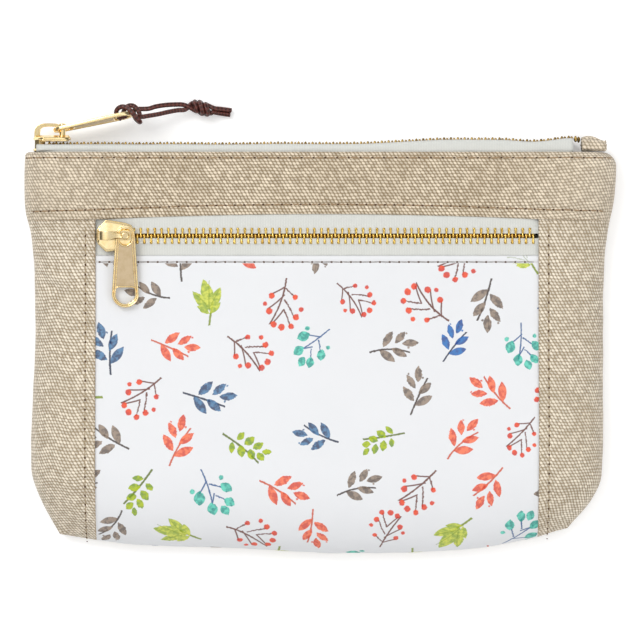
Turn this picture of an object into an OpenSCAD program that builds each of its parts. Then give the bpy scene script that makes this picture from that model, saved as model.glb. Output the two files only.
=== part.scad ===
// Zippered cotton pouch lying on its back: a canvas shell with a zipped mouth along the
// top edge, a zipped pocket in the front panel and metal sliders with long pulls.
// The origin is the middle of the back face, on the surface that the pouch lies on. X runs to the
// right, Y to the zipped mouth and Z out of the front.

/* [Shell] */
// Width across the top band
pouch_w = 223; // [186:1:270]
// Height from the bottom seam to the top edge of the band
pouch_h = 151; // [126:1:182]
// Height of the front zip's level above the table
front_z = 17; // [15.5:0.5:21]
// How much higher the lower front bulges
belly_rise = 4; // [0:0.5:8]
// Height of the side and bottom seams above the table
seam_z = 4.2; // [3.5:0.1:6]
// Width over which the front rolls down to a side seam
side_roll = 24; // [18:1:30]
// Width over which the front rolls down to the bottom seam
bottom_roll = 30; // [20:1:40]
// How far the left side pulls in below the band
pull_in_left = 4.1; // [0:0.1:6]
// How far the right side pulls in below the band
pull_in_right = 4.8; // [0:0.1:6]

/* [Panels] */
// Width of the left side panel at the top
side_panel_left_w = 27.5; // [22:0.5:36]
// Width of the right side panel at the top
side_panel_right_w = 29.7; // [22:0.5:36]
// Height of the top band at the middle
band_h = 23.5; // [21:0.5:24]
// How much deeper the band is at its ends
band_end_drop = 3.6; // [0:0.2:5]
// Thickness of the beige canvas
canvas_t = 0.7; // [0.5:0.1:0.9]
// Thickness of the printed cotton
cotton_t = 0.6; // [0.4:0.1:0.7]
// Thickness of the lining cloth
lining_t = 0.4; // [0.3:0.1:0.5]
// Clearance between two layers that lie on each other
layer_gap = 0.1; // [0.05:0.05:0.15]
// Depth of the front pocket below the front zip's level
pocket_depth = 6; // [5:0.5:7]
// Inset of the linings from the outline of the shell
lining_inset = 6; // [5:0.5:8]

/* [Zips] */
// Width of a closed chain across both rows of teeth
chain_w = 6; // [5.6:0.1:6.4]
// Distance from one tooth to the next in a row
tooth_pitch = 2.6; // [2.5:0.05:3.2]
// Width of a tooth along the chain
tooth_w = 1.15; // [0.9:0.05:1.2]
// Thickness of a tooth through the chain
tooth_t = 2.4; // [2:0.1:2.6]
// How far a tooth reaches past the middle of the chain
tooth_reach = 0.45; // [0.3:0.05:0.6]
// Thickness of the zip tape
tape_t = 0.5; // [0.4:0.05:0.6]
// Width of tape beyond the teeth on each side
tape_w = 12; // [11:0.5:13]
// Width of tape that shows between the teeth and the folded edge of the pocket panel
tape_show = 4.3; // [3.9:0.1:6]
// Distance from the top edge of the band down to the middle of the front chain
front_zip_drop = 31.6; // [30:0.2:33]
// Distance from the top edge of the band up to the middle of the mouth chain
mouth_zip_rise = 4.4; // [4.2:0.1:6]
// Height of the middle of the mouth chain above the table
mouth_zip_z = 8; // [8:0.1:9]

/* [Sliders] */
// Length of a slider along the chain
slider_l = 14; // [13:0.1:15]
// Width of a slider across the chain
slider_w = 12; // [11.4:0.1:12.4]
// Thickness of each slider plate
plate_t = 1; // [0.8:0.1:1.2]
// Clearance between the teeth and a plate
plate_gap = 0.4; // [0.3:0.05:0.5]
// Height of the gap under the bridge
bridge_gap = 2.4; // [2.2:0.1:3]
// Thickness of the bridge bar
bridge_t = 1.4; // [1:0.1:1.8]
// Radius of the post at the rear of the bridge
post_r = 1.2; // [0.9:0.1:1.3]
// Distance between the left outline and the mouth slider
mouth_slider_inset = 3.8; // [3:0.1:6]
// Distance between the left side panel and the front slider
front_slider_inset = 0.4; // [0.3:0.1:4]

/* [Pulls] */
// Length of a pull from its crossbar to its tail
pull_l = 31; // [26:0.5:38]
// Width of a pull at its eye
pull_eye_w = 7.2; // [6.6:0.1:7.4]
// Width of a pull at its tail
pull_tail_w = 10.1; // [8:0.1:12]
// Thickness of a pull
pull_t = 1.5; // [1.2:0.1:1.6]
// Width of the rim round a pull
pull_rim = 1.3; // [1:0.1:1.6]
// Depth of the recess inside the rim, on each face
recess_depth = 0.3; // [0.1:0.05:0.4]
// Length of the window at the tail
window_l = 6.2; // [5.4:0.1:8]
// Angle of the mouth pull above its chain
mouth_pull_lean = 12; // [10:1:30]
// Angle at which the front pull droops onto the pocket panel
front_pull_droop = 2.5; // [0:0.5:3]

/* [Cord and tab] */
// Diameter of the waxed cord
cord_d = 1.6; // [1.2:0.1:1.8]
// Diameter of the knot near the ends of the cord
knot_d = 6.8; // [6:0.1:7.2]
// Width of the folded tab at the closed end of the mouth zip
tab_w = 9.2; // [7:0.1:10]
// Thickness of the folded tab through the pouch
tab_depth = 11; // [8:0.5:12]

/* [Hidden] */

// Shell
half_w = pouch_w / 2;
top_y = pouch_h / 2;
top_roll = 18;
mouth_side_roll = 12;
back_roll = 14;
belly_start_y = 12;
belly_blend = 45;
pocket_blend = 16;
wall_blend = 20;
seam_gap = 0.3;
seam_left = -half_w + side_panel_left_w;
seam_right = half_w - side_panel_right_w;

// Zips
zip_y = top_y - front_zip_drop;
mouth_y = top_y + mouth_zip_rise;
front_chain_z = front_z - tape_t / 2;
tape_start = chain_w / 2 + 0.1;
tape_flat = slider_w / 2 + 0.4;
tape_bend = 0.65;
mouth_front_z = mouth_zip_z + tape_flat + tape_bend - 0.1;

// Rows and columns of the lattice that all layers share
low_rows = [0, 0.025, 0.07, 0.14, 0.24, 0.38, 0.54, 0.7, 0.85];
tape_low_y = zip_y - tape_start - tape_w;
fold_y = zip_y - chain_w / 2 - tape_show;
tape_high_y = zip_y + tape_start + tape_w;
straight_rows = [
    tape_low_y, fold_y, zip_y - tape_start, zip_y + tape_start, top_y - band_h, tape_high_y,
    top_y - 11.5, top_y - 6.5, top_y - 2.5, top_y
];
row_tape_low = len(low_rows);
row_fold = row_tape_low + 1;
row_chain_low = row_tape_low + 2;
row_chain_high = row_tape_low + 3;
row_band = row_tape_low + 4;
row_tape_high = row_tape_low + 5;
row_mouth_tape = row_tape_low + 6;
row_lining_top = row_tape_low + 8;
row_top = row_tape_low + 9;
side_steps = [0, 0.1, 0.25, 0.45, 0.68];
mid_inset = 4;
mid_cells = 8;
col_hidden_left = len(side_steps) - 1;
col_seam_left = len(side_steps);
col_seam_right = col_seam_left + mid_cells + 2;
col_hidden_right = col_seam_right + 1;
col_last = col_seam_right + len(side_steps);

// Outline of the shell: sides as [y, x], bottom as [x, y]
corner_left = [-half_w + 13.5, -top_y + 7.2];
corner_right = [half_w - 18.5, -top_y + 10.5];
left_edge = [
    [corner_left.y, corner_left.x], [-top_y + 18.5, -half_w + 7.2], [-top_y + 31.5, -half_w + 2.8],
    [0, -half_w + pull_in_left], [top_y - 27, -half_w + 2.7], [top_y, -half_w]
];
right_edge = [
    [corner_right.y, corner_right.x], [-top_y + 20, half_w - 10.3], [-top_y + 29, half_w - 5.9],
    [0, half_w - pull_in_right], [top_y - 27, half_w - 2.7], [top_y, half_w]
];
bottom_edge = [
    corner_left, [-0.65 * half_w, -top_y + 3.5], [-0.25 * half_w, -top_y + 1.6], [0.15 * half_w, -top_y],
    [0.5 * half_w, -top_y + 1.6], [0.7 * half_w, -top_y + 5.2], corner_right
];

// Sliders, in their own frame: X along the chain, Z out of the pouch
plate_in = tooth_t / 2 + plate_gap;
plate_out = plate_in + plate_t;
slot_half = tape_t / 2 + 0.45;
bar_z = plate_out + bridge_gap;
bridge_top = bar_z + bridge_t;
post_x = 3.8;
bar_half_w = 1.5;
pull_z = plate_out + 0.5 + pull_t / 2;
pin_x = 1.25;
front_slider_x = seam_left + front_slider_inset + slider_l / 2;
mouth_slider_x = -half_w + mouth_slider_inset + slider_l / 2;
front_teeth_end = seam_right - 0.4;
tab_x = half_w - tab_w - 4;
mouth_teeth_end = tab_x - 0.6;

// Pulls, in their own frame: the crossbar at the origin and the tail along X
bar_r = 0.8;
bar_half_l = 1.2;
eye_l = 6.1;
eye_half_w = 2.3;
eye_corner_r = 1.4;
eye_end = bar_r + eye_l;
tail_x = pull_l - bar_r;
window_end = tail_x - pull_rim;
window_start = window_end - window_l;
eye_post_x = 3.3;

// Cord, measured from the crossbar of a mouth pull with its tail at tail_ref along lean_ref
tail_ref = 30.2;
lean_ref = 12;
mouth_pin = [mouth_slider_x + pin_x, mouth_y + pull_z, mouth_zip_z];
hitch_r = 2.15;
hitch_spread = 0.95;
strand_a = [[32, 6.8, 0.9], [36, 8, 0.4], [41, 9, -0.9], [46, 9.4, -2.6], [50, 9.4, -3.7], [52.2, 9.2, -4.2]];
strand_b = [[32, 6, -1], [36, 6.6, -1.7], [41, 7.2, -3], [46, 7.6, -4.2], [50, 7.6, -4.8], [52.2, 7.6, -5]];
tail_a = [[59.1, 8.8, -4.9], [61.5, 9.2, -6], [64.5, 8.9, -6.9], [67.5, 8.1, -7.1]];
tail_b = [[59, 7.4, -5.4], [61, 6.7, -6.3], [63.3, 6, -7], [65.5, 5.6, -7.1]];
knot_at = [55.6, 8.4, -4.4];

// Curves and blends
function mix(a, b, t) = a + (b - a) * t;
function slope(p, k) =
    let (a = max(k - 1, 0), b = min(k + 1, len(p) - 1)) (p[b][1] - p[a][1]) / (p[b][0] - p[a][0]);
function span(p, t, k = 0) = k >= len(p) - 2 || t < p[k + 1][0] ? k : span(p, t, k + 1);
// Value at t on a smooth curve through the points p, each [t, value]
function smooth(p, t) =
    let (k = span(p, t), w = p[k + 1][0] - p[k][0], s = (t - p[k][0]) / w)
    p[k][1] * (1 + 2 * s) * (1 - s) ^ 2 + slope(p, k) * w * s * (1 - s) ^ 2
    + p[k + 1][1] * s ^ 2 * (3 - 2 * s) + slope(p, k + 1) * w * s ^ 2 * (s - 1);
// Quarter-round blend from 0 to 1, and a soft one
function round_off(t) = t <= 0 ? 0 : t >= 1 ? 1 : sqrt(1 - (1 - t) ^ 2);
function ease(t) = t <= 0 ? 0 : t >= 1 ? 1 : (1 - cos(180 * t)) / 2;

// Outline of the shell
function left_x(y) = smooth(left_edge, y);
function right_x(y) = smooth(right_edge, y);
function bottom_y(x) = smooth(bottom_edge, min(max(x, corner_left.x), corner_right.x));

// Lattice: the foot of a column, then the point at column i and row j
function foot_x(i) =
    i < col_seam_left ? mix(corner_left.x, seam_left, side_steps[i])
    : i > col_seam_right ? mix(corner_right.x, seam_right, side_steps[col_last - i])
    : mid_x(i);
function mid_x(i) =
    i == col_seam_left ? seam_left
    : i == col_seam_right ? seam_right
    : mix(seam_left + mid_inset, seam_right - mid_inset, (i - col_seam_left - 1) / mid_cells);
function row_y(i, j) =
    j < row_tape_low ? mix(bottom_y(foot_x(i)), tape_low_y, low_rows[j])
    : straight_rows[j - row_tape_low] - (j == row_band ? band_end_drop * (foot_x(i) / half_w) ^ 2 : 0);
function col_x(i, y) =
    i < col_seam_left ? mix(left_x(y), seam_left, side_steps[i])
    : i > col_seam_right ? mix(right_x(y), seam_right, side_steps[col_last - i])
    : mid_x(i);
function at(i, j) = let (y = row_y(i, j)) [col_x(i, y), y];

// Heights of the shell above the table
function seam_at(y) = mix(seam_z, mouth_zip_z - 1, ease((y - 20) / (top_y - 20)));
function roll(p, side, bottom) =
    round_off((p.x - left_x(p.y)) / side) * round_off((right_x(p.y) - p.x) / side)
    * round_off((p.y - bottom_y(p.x)) / bottom);
function belly_at(y) = belly_rise * ease((belly_start_y - y) / belly_blend);
function front_level(y) = mix(mouth_front_z, front_z + belly_at(y), round_off((top_y - y) / top_roll));
function front_at(p) =
    let (low = seam_at(p.y) - seam_gap + 0.05,
         side = mix(side_roll, mouth_side_roll, ease((p.y - zip_y) / (top_y - zip_y))))
    mix(low, front_level(p.y), roll(p, side, bottom_roll));
function back_at(p) = (seam_at(p.y) - canvas_t - seam_gap) * (1 - roll(p, back_roll, back_roll));
function wall_at(p) =
    front_at(p) - tape_t - 0.2 - (pocket_depth + belly_at(p.y)) * ease((tape_high_y - p.y) / pocket_blend)
    * ease((p.x - left_x(p.y) - lining_inset) / wall_blend)
    * ease((right_x(p.y) - p.x - lining_inset) / wall_blend)
    * ease((p.y - bottom_y(p.x) - lining_inset) / wall_blend);

// How far each layer lies above the level of the zip tape
cotton_rise = layer_gap;
side_rise = cotton_rise + cotton_t + layer_gap;
band_side_rise = side_rise + canvas_t + layer_gap;
band_end_rise = 0.5;
function in_middle(i) = i > col_seam_left && i < col_seam_right;
function band_rise(i, j) = in_middle(i) ? layer_gap : j <= row_tape_high ? band_side_rise : band_end_rise;
// Height of the back panel, and of the lining on it, above the back face
function back_rise(j) = j < row_band ? 0 : canvas_t + layer_gap;
function lining_rise(j) =
    layer_gap + (j < row_band ? canvas_t : j <= row_tape_high ? 2 * canvas_t + layer_gap
                 : canvas_t + tape_t + 3 * layer_gap);

// Closed sheet between two equal grids of points
module sheet(top, bottom) {
    rows = len(top);
    cols = len(top[0]);
    count = rows * cols;
    top_faces = [for (r = [0:rows - 2], c = [0:cols - 2])
        let (a = r * cols + c) each [[a, a + cols, a + 1], [a + 1, a + cols, a + cols + 1]]];
    bottom_faces = [for (f = top_faces) [f[2] + count, f[1] + count, f[0] + count]];
    rim = concat(
        [for (c = [0:cols - 1]) c],
        [for (r = [1:rows - 1]) r * cols + cols - 1],
        [for (c = [cols - 2:-1:0]) (rows - 1) * cols + c],
        [for (r = [rows - 2:-1:1]) r * cols]
    );
    rim_faces = [for (k = [0:len(rim) - 1])
        let (a = rim[k], b = rim[(k + 1) % len(rim)])
        each [[a, b, b + count], [a, b + count, a + count]]];
    polyhedron(
        concat([for (row = top) each row], [for (row = bottom) each row]),
        concat(top_faces, bottom_faces, rim_faces),
        convexity = 6
    );
}

// Tube of radius r through a list of points
module tube(path, r, sides = 8) {
    last = len(path) - 1;
    ring_points = [for (k = [0:last])
        let (dir = path[min(k + 1, last)] - path[max(k - 1, 0)], d = dir / norm(dir),
             side = cross(d, [0, 0, 1]), s = side / norm(side), u = cross(s, d))
        for (n = [0:sides - 1]) path[k] + r * (cos(360 * n / sides) * s + sin(360 * n / sides) * u)];
    wall = [for (k = [0:last - 1], n = [0:sides - 1])
        let (a = k * sides + n, b = k * sides + (n + 1) % sides)
        each [[a, b, b + sides], [a, b + sides, a + sides]]];
    polyhedron(
        ring_points,
        concat(wall, [[for (n = [sides - 1:-1:0]) n]], [[for (n = [0:sides - 1]) last * sides + n]]),
        convexity = 4
    );
}

// Shell panels
module back_panel() {
    color("tan") sheet(
        [for (i = [0:col_last]) [for (j = [0:row_tape_high])
            let (p = at(i, j)) [p.x, p.y, back_at(p) + back_rise(j) + canvas_t]]],
        [for (i = [0:col_last]) [for (j = [0:row_tape_high])
            let (p = at(i, j)) [p.x, p.y, back_at(p) + back_rise(j)]]]
    );
}

module back_top_band() {
    color("tan") sheet(
        [for (i = [0:col_last]) [for (j = [row_band:row_top]) let (p = at(i, j)) [p.x, p.y, back_at(p) + canvas_t]]],
        [for (i = [0:col_last]) [for (j = [row_band:row_top]) let (p = at(i, j)) [p.x, p.y, back_at(p)]]]
    );
}

module front_top_band() {
    color("tan") sheet(
        [for (i = [0:col_last]) [for (j = [row_band:row_top])
            let (p = at(i, j)) [p.x, p.y, front_at(p) + band_rise(i, j) + canvas_t]]],
        [for (i = [0:col_last]) [for (j = [row_band:row_top])
            let (p = at(i, j)) [p.x, p.y, front_at(p) + band_rise(i, j)]]]
    );
}

// A front layer between two columns and two rows, raised above the level of the zip tape
module front_layer(first, last, low, high, rise, thick) {
    sheet(
        [for (i = [first:last]) [for (j = [low:high]) let (p = at(i, j)) [p.x, p.y, front_at(p) + rise + thick]]],
        [for (i = [first:last]) [for (j = [low:high]) let (p = at(i, j)) [p.x, p.y, front_at(p) + rise]]]
    );
}

module front_side_panel_left() {
    color("wheat") front_layer(0, col_seam_left, 0, row_tape_high, side_rise, canvas_t);
}

module front_side_panel_right() {
    color("wheat") front_layer(col_seam_right, col_last, 0, row_tape_high, side_rise, canvas_t);
}

module front_pocket_panel() {
    color("whitesmoke") front_layer(col_hidden_left, col_hidden_right, 0, row_fold, cotton_rise, cotton_t);
}

// Linings
module lining_sheet(high, drop) {
    first = 2;
    low = 2;
    sheet(
        [for (i = [first:col_last - first]) [for (j = [low:high])
            let (p = at(i, j)) [p.x, p.y, wall_at(p) - drop]]],
        [for (i = [first:col_last - first]) [for (j = [low:high])
            let (p = at(i, j)) [p.x, p.y, wall_at(p) - drop - lining_t]]]
    );
}

module pocket_wall() {
    color("ivory") lining_sheet(row_tape_high, 0);
}

module lining_front() {
    color("ivory") lining_sheet(row_lining_top, lining_t + layer_gap);
}

module lining_back() {
    first = 2;
    color("ivory") sheet(
        [for (i = [first:col_last - first]) [for (j = [2:row_lining_top])
            let (p = at(i, j)) [p.x, p.y, back_at(p) + lining_rise(j) + lining_t]]],
        [for (i = [first:col_last - first]) [for (j = [2:row_lining_top])
            let (p = at(i, j)) [p.x, p.y, back_at(p) + lining_rise(j)]]]
    );
}

// Front zip
module front_zip_tape_upper() {
    color("white") front_layer(col_hidden_left, col_hidden_right, row_chain_high, row_tape_high, -tape_t, tape_t);
}

module front_zip_tape_lower() {
    color("white") front_layer(col_hidden_left, col_hidden_right, row_tape_low, row_chain_low, -tape_t, tape_t);
}

// Row of teeth along X on the +Y side of the chain, between two places
module teeth_row(first, last) {
    count = floor((last - first) / tooth_pitch);
    outer = chain_w / 2;
    half_t = tooth_t / 2;
    for (k = [0:count])
        translate([first + k * tooth_pitch - tooth_w / 2, 0, 0])
            rotate([90, 0, 90])
                linear_extrude(tooth_w)
                    polygon([
                        [-tooth_reach, -0.6 * half_t], [-0.1, -half_t], [outer - 0.6, -half_t], [outer, -0.7 * half_t],
                        [outer, 0.7 * half_t], [outer - 0.6, half_t], [-0.1, half_t], [-tooth_reach, 0.6 * half_t]
                    ]);
}

module front_zip_teeth_upper() {
    color("goldenrod") translate([0, zip_y, front_chain_z])
        teeth_row(front_slider_x - 0.9, front_teeth_end - tooth_w);
}

module front_zip_teeth_lower() {
    color("goldenrod") translate([0, zip_y, front_chain_z]) mirror([0, 1, 0])
        teeth_row(front_slider_x - 0.9 + tooth_pitch / 2, front_teeth_end - tooth_w);
}

// Mouth zip: each tape lies flat beside its teeth, bends round and runs down inside its band.
// The section at one column, as [y, z] points, for the front (side 1) or the back (side -1)
mouth_bend = [
    [mouth_y, tape_start], [mouth_y, tape_flat], [mouth_y - tape_bend, tape_flat + tape_bend],
    [top_y + 1.1, tape_flat + tape_bend - 0.1]
];
mouth_rows = [for (j = [row_top:-1:row_mouth_tape]) j];
function mouth_section(i, side) = concat(
    [for (p = mouth_bend) [p.x, mouth_zip_z + side * p.y]],
    [for (j = mouth_rows)
        let (p = at(i, j))
        [p.y, side > 0 ? front_at(p) - tape_t / 2 : back_at(p) + canvas_t + 2 * layer_gap + tape_t / 2]]
);
function mouth_x(i) = concat([for (p = mouth_bend) at(i, row_top).x], [for (j = mouth_rows) at(i, j).x]);
function beside(path, k, off) =
    let (d = path[min(k + 1, len(path) - 1)] - path[max(k - 1, 0)]) path[k] + off * [d.y, -d.x] / norm(d);
function mouth_face(side, off) = [for (i = [1:col_last - 3])
    let (path = mouth_section(i, side), x = mouth_x(i))
    [for (k = [0:len(path) - 1]) let (q = beside(path, k, off)) [x[k], q.x, q.y]]];

module mouth_tape(side) {
    sheet(mouth_face(side, -tape_t / 2), mouth_face(side, tape_t / 2));
}

module mouth_zip_tape_front() {
    color("white") mouth_tape(1);
}

module mouth_zip_tape_back() {
    color("white") mouth_tape(-1);
}

module mouth_zip_teeth_front() {
    color("goldenrod") translate([0, mouth_y, mouth_zip_z]) rotate([90, 0, 0])
        teeth_row(mouth_slider_x - 0.9, mouth_teeth_end);
}

module mouth_zip_teeth_back() {
    color("goldenrod") translate([0, mouth_y, mouth_zip_z]) rotate([90, 0, 0]) mirror([0, 1, 0])
        teeth_row(mouth_slider_x - 0.9 + tooth_pitch / 2, mouth_teeth_end);
}

// Folded canvas tab over the closed end of the mouth zip
module zip_end_tab() {
    low = 0.4;
    high = mouth_zip_rise + 1.7;
    color("tan") translate([tab_x, top_y, mouth_zip_z]) rotate([90, 0, 90])
        linear_extrude(tab_w)
            polygon([
                [low, -tab_depth / 2], [high - 1.2, -tab_depth / 2], [high, -tab_depth / 2 + 1.6],
                [high, tab_depth / 2 - 1.6], [high - 1.2, tab_depth / 2], [low, tab_depth / 2]
            ]);
}

// Sliders. Both use the same castings, laid along their own chain.
function both_sides(half) = concat(half, [for (k = [len(half) - 1:-1:0]) [half[k].x, -half[k].y]]);

module slider_body() {
    front = -slider_l / 2;
    rear = slider_l / 2;
    side = slider_w / 2;
    plate = [[front, 1.9], [front + 0.6, 3.2], [front + 3.4, side - 0.1], [front + 4.2, side],
             [rear - 3.2, side - 1.1], [rear - 1, side - 2], [rear, side - 3.4]];
    flange = [[front + 3.4, side - 0.1], [front + 4.2, side], [rear - 3.2, side - 1.1], [rear - 1, side - 2],
              [rear - 1, chain_w / 2 + 0.3], [rear - 3.2, side - 1.9], [front + 4.2, side - 0.8],
              [front + 3.4, side - 0.8]];
    wedge = [[front + 0.6, 0], [front + 2.4, 1.4], [front + 4.8, 0], [front + 2.4, -1.4]];
    for (s = [-1, 1])
        translate([0, 0, s * (plate_in + plate_t / 2)])
            linear_extrude(plate_t, center = true) polygon(both_sides(plate));
    linear_extrude(2 * plate_in, center = true) polygon(wedge);
    for (up = [0, 1], across = [0, 1])
        mirror([0, 0, up]) mirror([0, across, 0])
            translate([0, 0, slot_half]) linear_extrude(plate_in - slot_half) polygon(flange);
}

// Arched bridge: a leg at the front, a bar over the gap and a round post at the rear
module slider_bridge() {
    foot = -slider_l / 2 + 0.3;
    leg = foot + 2.8;
    rotate([90, 0, 0])
        linear_extrude(2 * bar_half_w, center = true)
            polygon([
                [foot, plate_out], [foot + 0.2, plate_out + 1.5], [foot + 1.2, bar_z + 0.6],
                [foot + 2.8, bridge_top], [post_x, bridge_top], [post_x, bar_z],
                [leg + 1.2, bar_z], [leg + 0.3, bar_z - 0.8], [leg, plate_out]
            ]);
    translate([post_x, 0, bar_z]) cylinder(h = bridge_t, r = bar_half_w, $fn = 48);
    translate([post_x, 0, plate_out]) cylinder(h = bridge_gap, r = post_r, $fn = 48);
}

// Arc about c from one angle to another
function arc(c, r, from, to) = [for (n = [0:6]) let (a = mix(from, to, n / 6)) c + r * [cos(a), sin(a)]];

// Pull tab with round ends, an eye at its crossbar, a recessed middle and a window at its tail
module pull_tab() {
    eye_half = pull_eye_w / 2;
    tail_half = pull_tail_w / 2;
    window_half = tail_half - pull_rim;
    tail_at = [tail_x - tail_half, 0];
    outline = concat(arc([eye_half - bar_r, 0], eye_half, 172, 90), arc(tail_at, tail_half, 90, 8));
    eye = concat(
        arc([bar_r + eye_corner_r, eye_half_w - eye_corner_r], eye_corner_r, 180, 90),
        arc([eye_end - eye_half_w, 0], eye_half_w, 90, 8)
    );
    window = concat([[window_start, window_half - 0.4]], arc(tail_at, window_half, 90, 8));
    recess = [[eye_end + 1.1, eye_half - pull_rim], [window_start - 1, tail_half - 0.7 - pull_rim]];
    difference() {
        linear_extrude(pull_t, center = true) polygon(both_sides(outline));
        linear_extrude(2 * pull_t, center = true) polygon(both_sides(eye));
        linear_extrude(2 * pull_t, center = true) polygon(both_sides(window));
        for (s = [-1, 1])
            translate([0, 0, s * pull_t / 2])
                linear_extrude(2 * recess_depth, center = true) polygon(both_sides(recess));
    }
    rotate([90, 0, 0]) cylinder(h = 2 * bar_half_l, r = bar_r, center = true, $fn = 32);
}

module on_front_chain() {
    translate([front_slider_x, zip_y, front_chain_z]) children();
}

module on_mouth_chain() {
    translate([mouth_slider_x, mouth_y, mouth_zip_z]) rotate([-90, 0, 0]) children();
}

module on_mouth_pull() {
    translate(mouth_pin) rotate([0, 0, mouth_pull_lean]) rotate([-90, 0, 0]) children();
}

module front_slider_body() {
    color("gold") on_front_chain() slider_body();
}

module front_slider_bridge() {
    color("gold") on_front_chain() slider_bridge();
}

module front_pull() {
    color("gold") on_front_chain() translate([post_x, 0, pull_z])
        rotate([0, 0, -90]) rotate([0, front_pull_droop, 0]) translate([-eye_post_x, 0, 0]) pull_tab();
}

module mouth_slider_body() {
    color("gold") on_mouth_chain() slider_body();
}

module mouth_slider_bridge() {
    color("gold") on_mouth_chain() slider_bridge();
}

module mouth_pull() {
    color("gold") on_mouth_pull() pull_tab();
}

// Waxed cord hitched round the tail of the mouth pull
module cord_hitch() {
    color("saddlebrown") on_mouth_pull()
        for (s = [-1, 1])
            translate([(window_end + tail_x) / 2, s * hitch_spread, 0]) rotate([90, 0, 0])
                rotate_extrude($fn = 32) translate([hitch_r, 0]) circle(r = cord_d / 2, $fn = 16);
}

module on_cord() {
    translate(mouth_pin) rotate([0, 0, mouth_pull_lean - lean_ref])
        translate((tail_x - tail_ref) * [cos(lean_ref), sin(lean_ref), 0]) children();
}

module cord_strands() {
    color("saddlebrown") on_cord() {
        tube(strand_a, cord_d / 2);
        tube(strand_b, cord_d / 2);
    }
}

module cord_end_knot() {
    color("saddlebrown") on_cord() translate(knot_at) sphere(d = knot_d, $fn = 32);
}

module cord_tails() {
    color("saddlebrown") on_cord() {
        tube(tail_a, cord_d / 2);
        tube(tail_b, cord_d / 2);
    }
}

back_panel();
back_top_band();
front_top_band();
front_side_panel_left();
front_side_panel_right();
front_pocket_panel();
pocket_wall();
lining_front();
lining_back();
front_zip_tape_upper();
front_zip_tape_lower();
front_zip_teeth_upper();
front_zip_teeth_lower();
mouth_zip_tape_front();
mouth_zip_tape_back();
mouth_zip_teeth_front();
mouth_zip_teeth_back();
zip_end_tab();
front_slider_body();
front_slider_bridge();
front_pull();
mouth_slider_body();
mouth_slider_bridge();
mouth_pull();
cord_hitch();
cord_strands();
cord_end_knot();
cord_tails();
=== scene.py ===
import math
import random
from functools import partialmethod

import bmesh
import bpy
import numpy as np
from mathutils import Matrix, Vector, noise


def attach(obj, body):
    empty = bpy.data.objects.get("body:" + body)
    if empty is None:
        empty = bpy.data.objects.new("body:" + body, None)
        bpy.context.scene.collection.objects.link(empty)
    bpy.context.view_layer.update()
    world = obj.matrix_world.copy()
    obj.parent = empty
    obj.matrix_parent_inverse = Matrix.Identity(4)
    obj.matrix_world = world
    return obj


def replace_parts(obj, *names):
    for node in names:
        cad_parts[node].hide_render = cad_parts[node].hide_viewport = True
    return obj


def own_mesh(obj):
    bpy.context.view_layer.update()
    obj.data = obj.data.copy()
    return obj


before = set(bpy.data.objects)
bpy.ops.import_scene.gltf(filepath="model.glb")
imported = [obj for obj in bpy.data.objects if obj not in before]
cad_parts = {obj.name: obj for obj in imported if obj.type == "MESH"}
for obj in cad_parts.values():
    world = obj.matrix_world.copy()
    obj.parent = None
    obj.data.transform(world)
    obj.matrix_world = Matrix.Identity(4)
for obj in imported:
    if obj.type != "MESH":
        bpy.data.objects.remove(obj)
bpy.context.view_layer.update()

mm = 0.001
random.seed(11)

# Lengths of the pouch are in millimetres; mm turns them into metres as a mesh is placed. The camera, the floor
# and the lamps are in metres.
pouch = {
    "halfWidth": 111.5, "topY": 75.5, "frontLevel": 17.0, "bellyRise": 4.0, "seamLevel": 4.2,
    "sideRoll": 24.0, "bottomRoll": 30.0, "topRoll": 18.0, "pullInLeft": 4.1, "pullInRight": 4.8,
    "seamLeft": -84.0, "seamRight": 81.8, "bandLow": 52.0, "bandSag": 3.6,
    "creaseHeight": 0.75, "puckerHeight": 0.16,
}
zips = {
    "frontY": 43.9, "frontZ": 16.75, "mouthY": 79.9, "mouthZ": 8.0, "pitch": 2.6, "toothWidth": 1.15,
    "tapeWidth": 12.0, "tapeFlat": 6.4, "tapeBend": 0.65,
    "foldY": 36.6, "tapeLowY": 28.8, "tapeHighY": 59.0,
}
halfW, topY = pouch["halfWidth"], pouch["topY"]
frontTop = 14.95  # level of the band's top edge

view = {"lens": 300, "height": 2.0, "middle": (0, 0.0124), "plane": 0.014}
cameraData = bpy.data.cameras.new("camera")
cameraData.lens = view["lens"]
cameraData.sensor_width = 36
cameraData.clip_start = 0.01
camera = bpy.data.objects.new("camera", cameraData)
camera.location = (*view["middle"], view["plane"] + view["height"])
bpy.context.collection.objects.link(camera)
bpy.context.scene.camera = camera


def mix(a, b, t):
    return a + (b - a) * t


def ease(t):
    return 0 if t <= 0 else 1 if t >= 1 else (1 - math.cos(math.pi * t)) / 2


def roundOff(t):
    return 0 if t <= 0 else 1 if t >= 1 else math.sqrt(1 - (1 - t) ** 2)


def curveAt(points, t):  # smooth curve through [t, value] points
    k = 0
    while k < len(points) - 2 and t >= points[k + 1][0]:
        k += 1

    def slope(n):
        a, b = max(n - 1, 0), min(n + 1, len(points) - 1)
        return (points[b][1] - points[a][1]) / (points[b][0] - points[a][0])

    w = points[k + 1][0] - points[k][0]
    s = (t - points[k][0]) / w
    return (points[k][1] * (1 + 2 * s) * (1 - s) ** 2 + slope(k) * w * s * (1 - s) ** 2
            + points[k + 1][1] * s * s * (3 - 2 * s) + slope(k + 1) * w * s * s * (s - 1))


def through(before, a, b, after, s):  # from a to b on a smooth curve
    return 0.5 * (2 * a + (b - before) * s + (2 * before - 5 * a + 4 * b - after) * s * s
                  + (3 * a - before - 3 * b + after) * s ** 3)


def runLengths(spots):
    lengths = [0.0]
    for a, b in zip(spots, spots[1:]):
        lengths.append(lengths[-1] + (b - a).length)
    return lengths


def meshFrom(name, bm):
    mesh = bpy.data.meshes.new(name)
    bm.to_mesh(mesh)
    bm.free()
    return mesh


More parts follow.
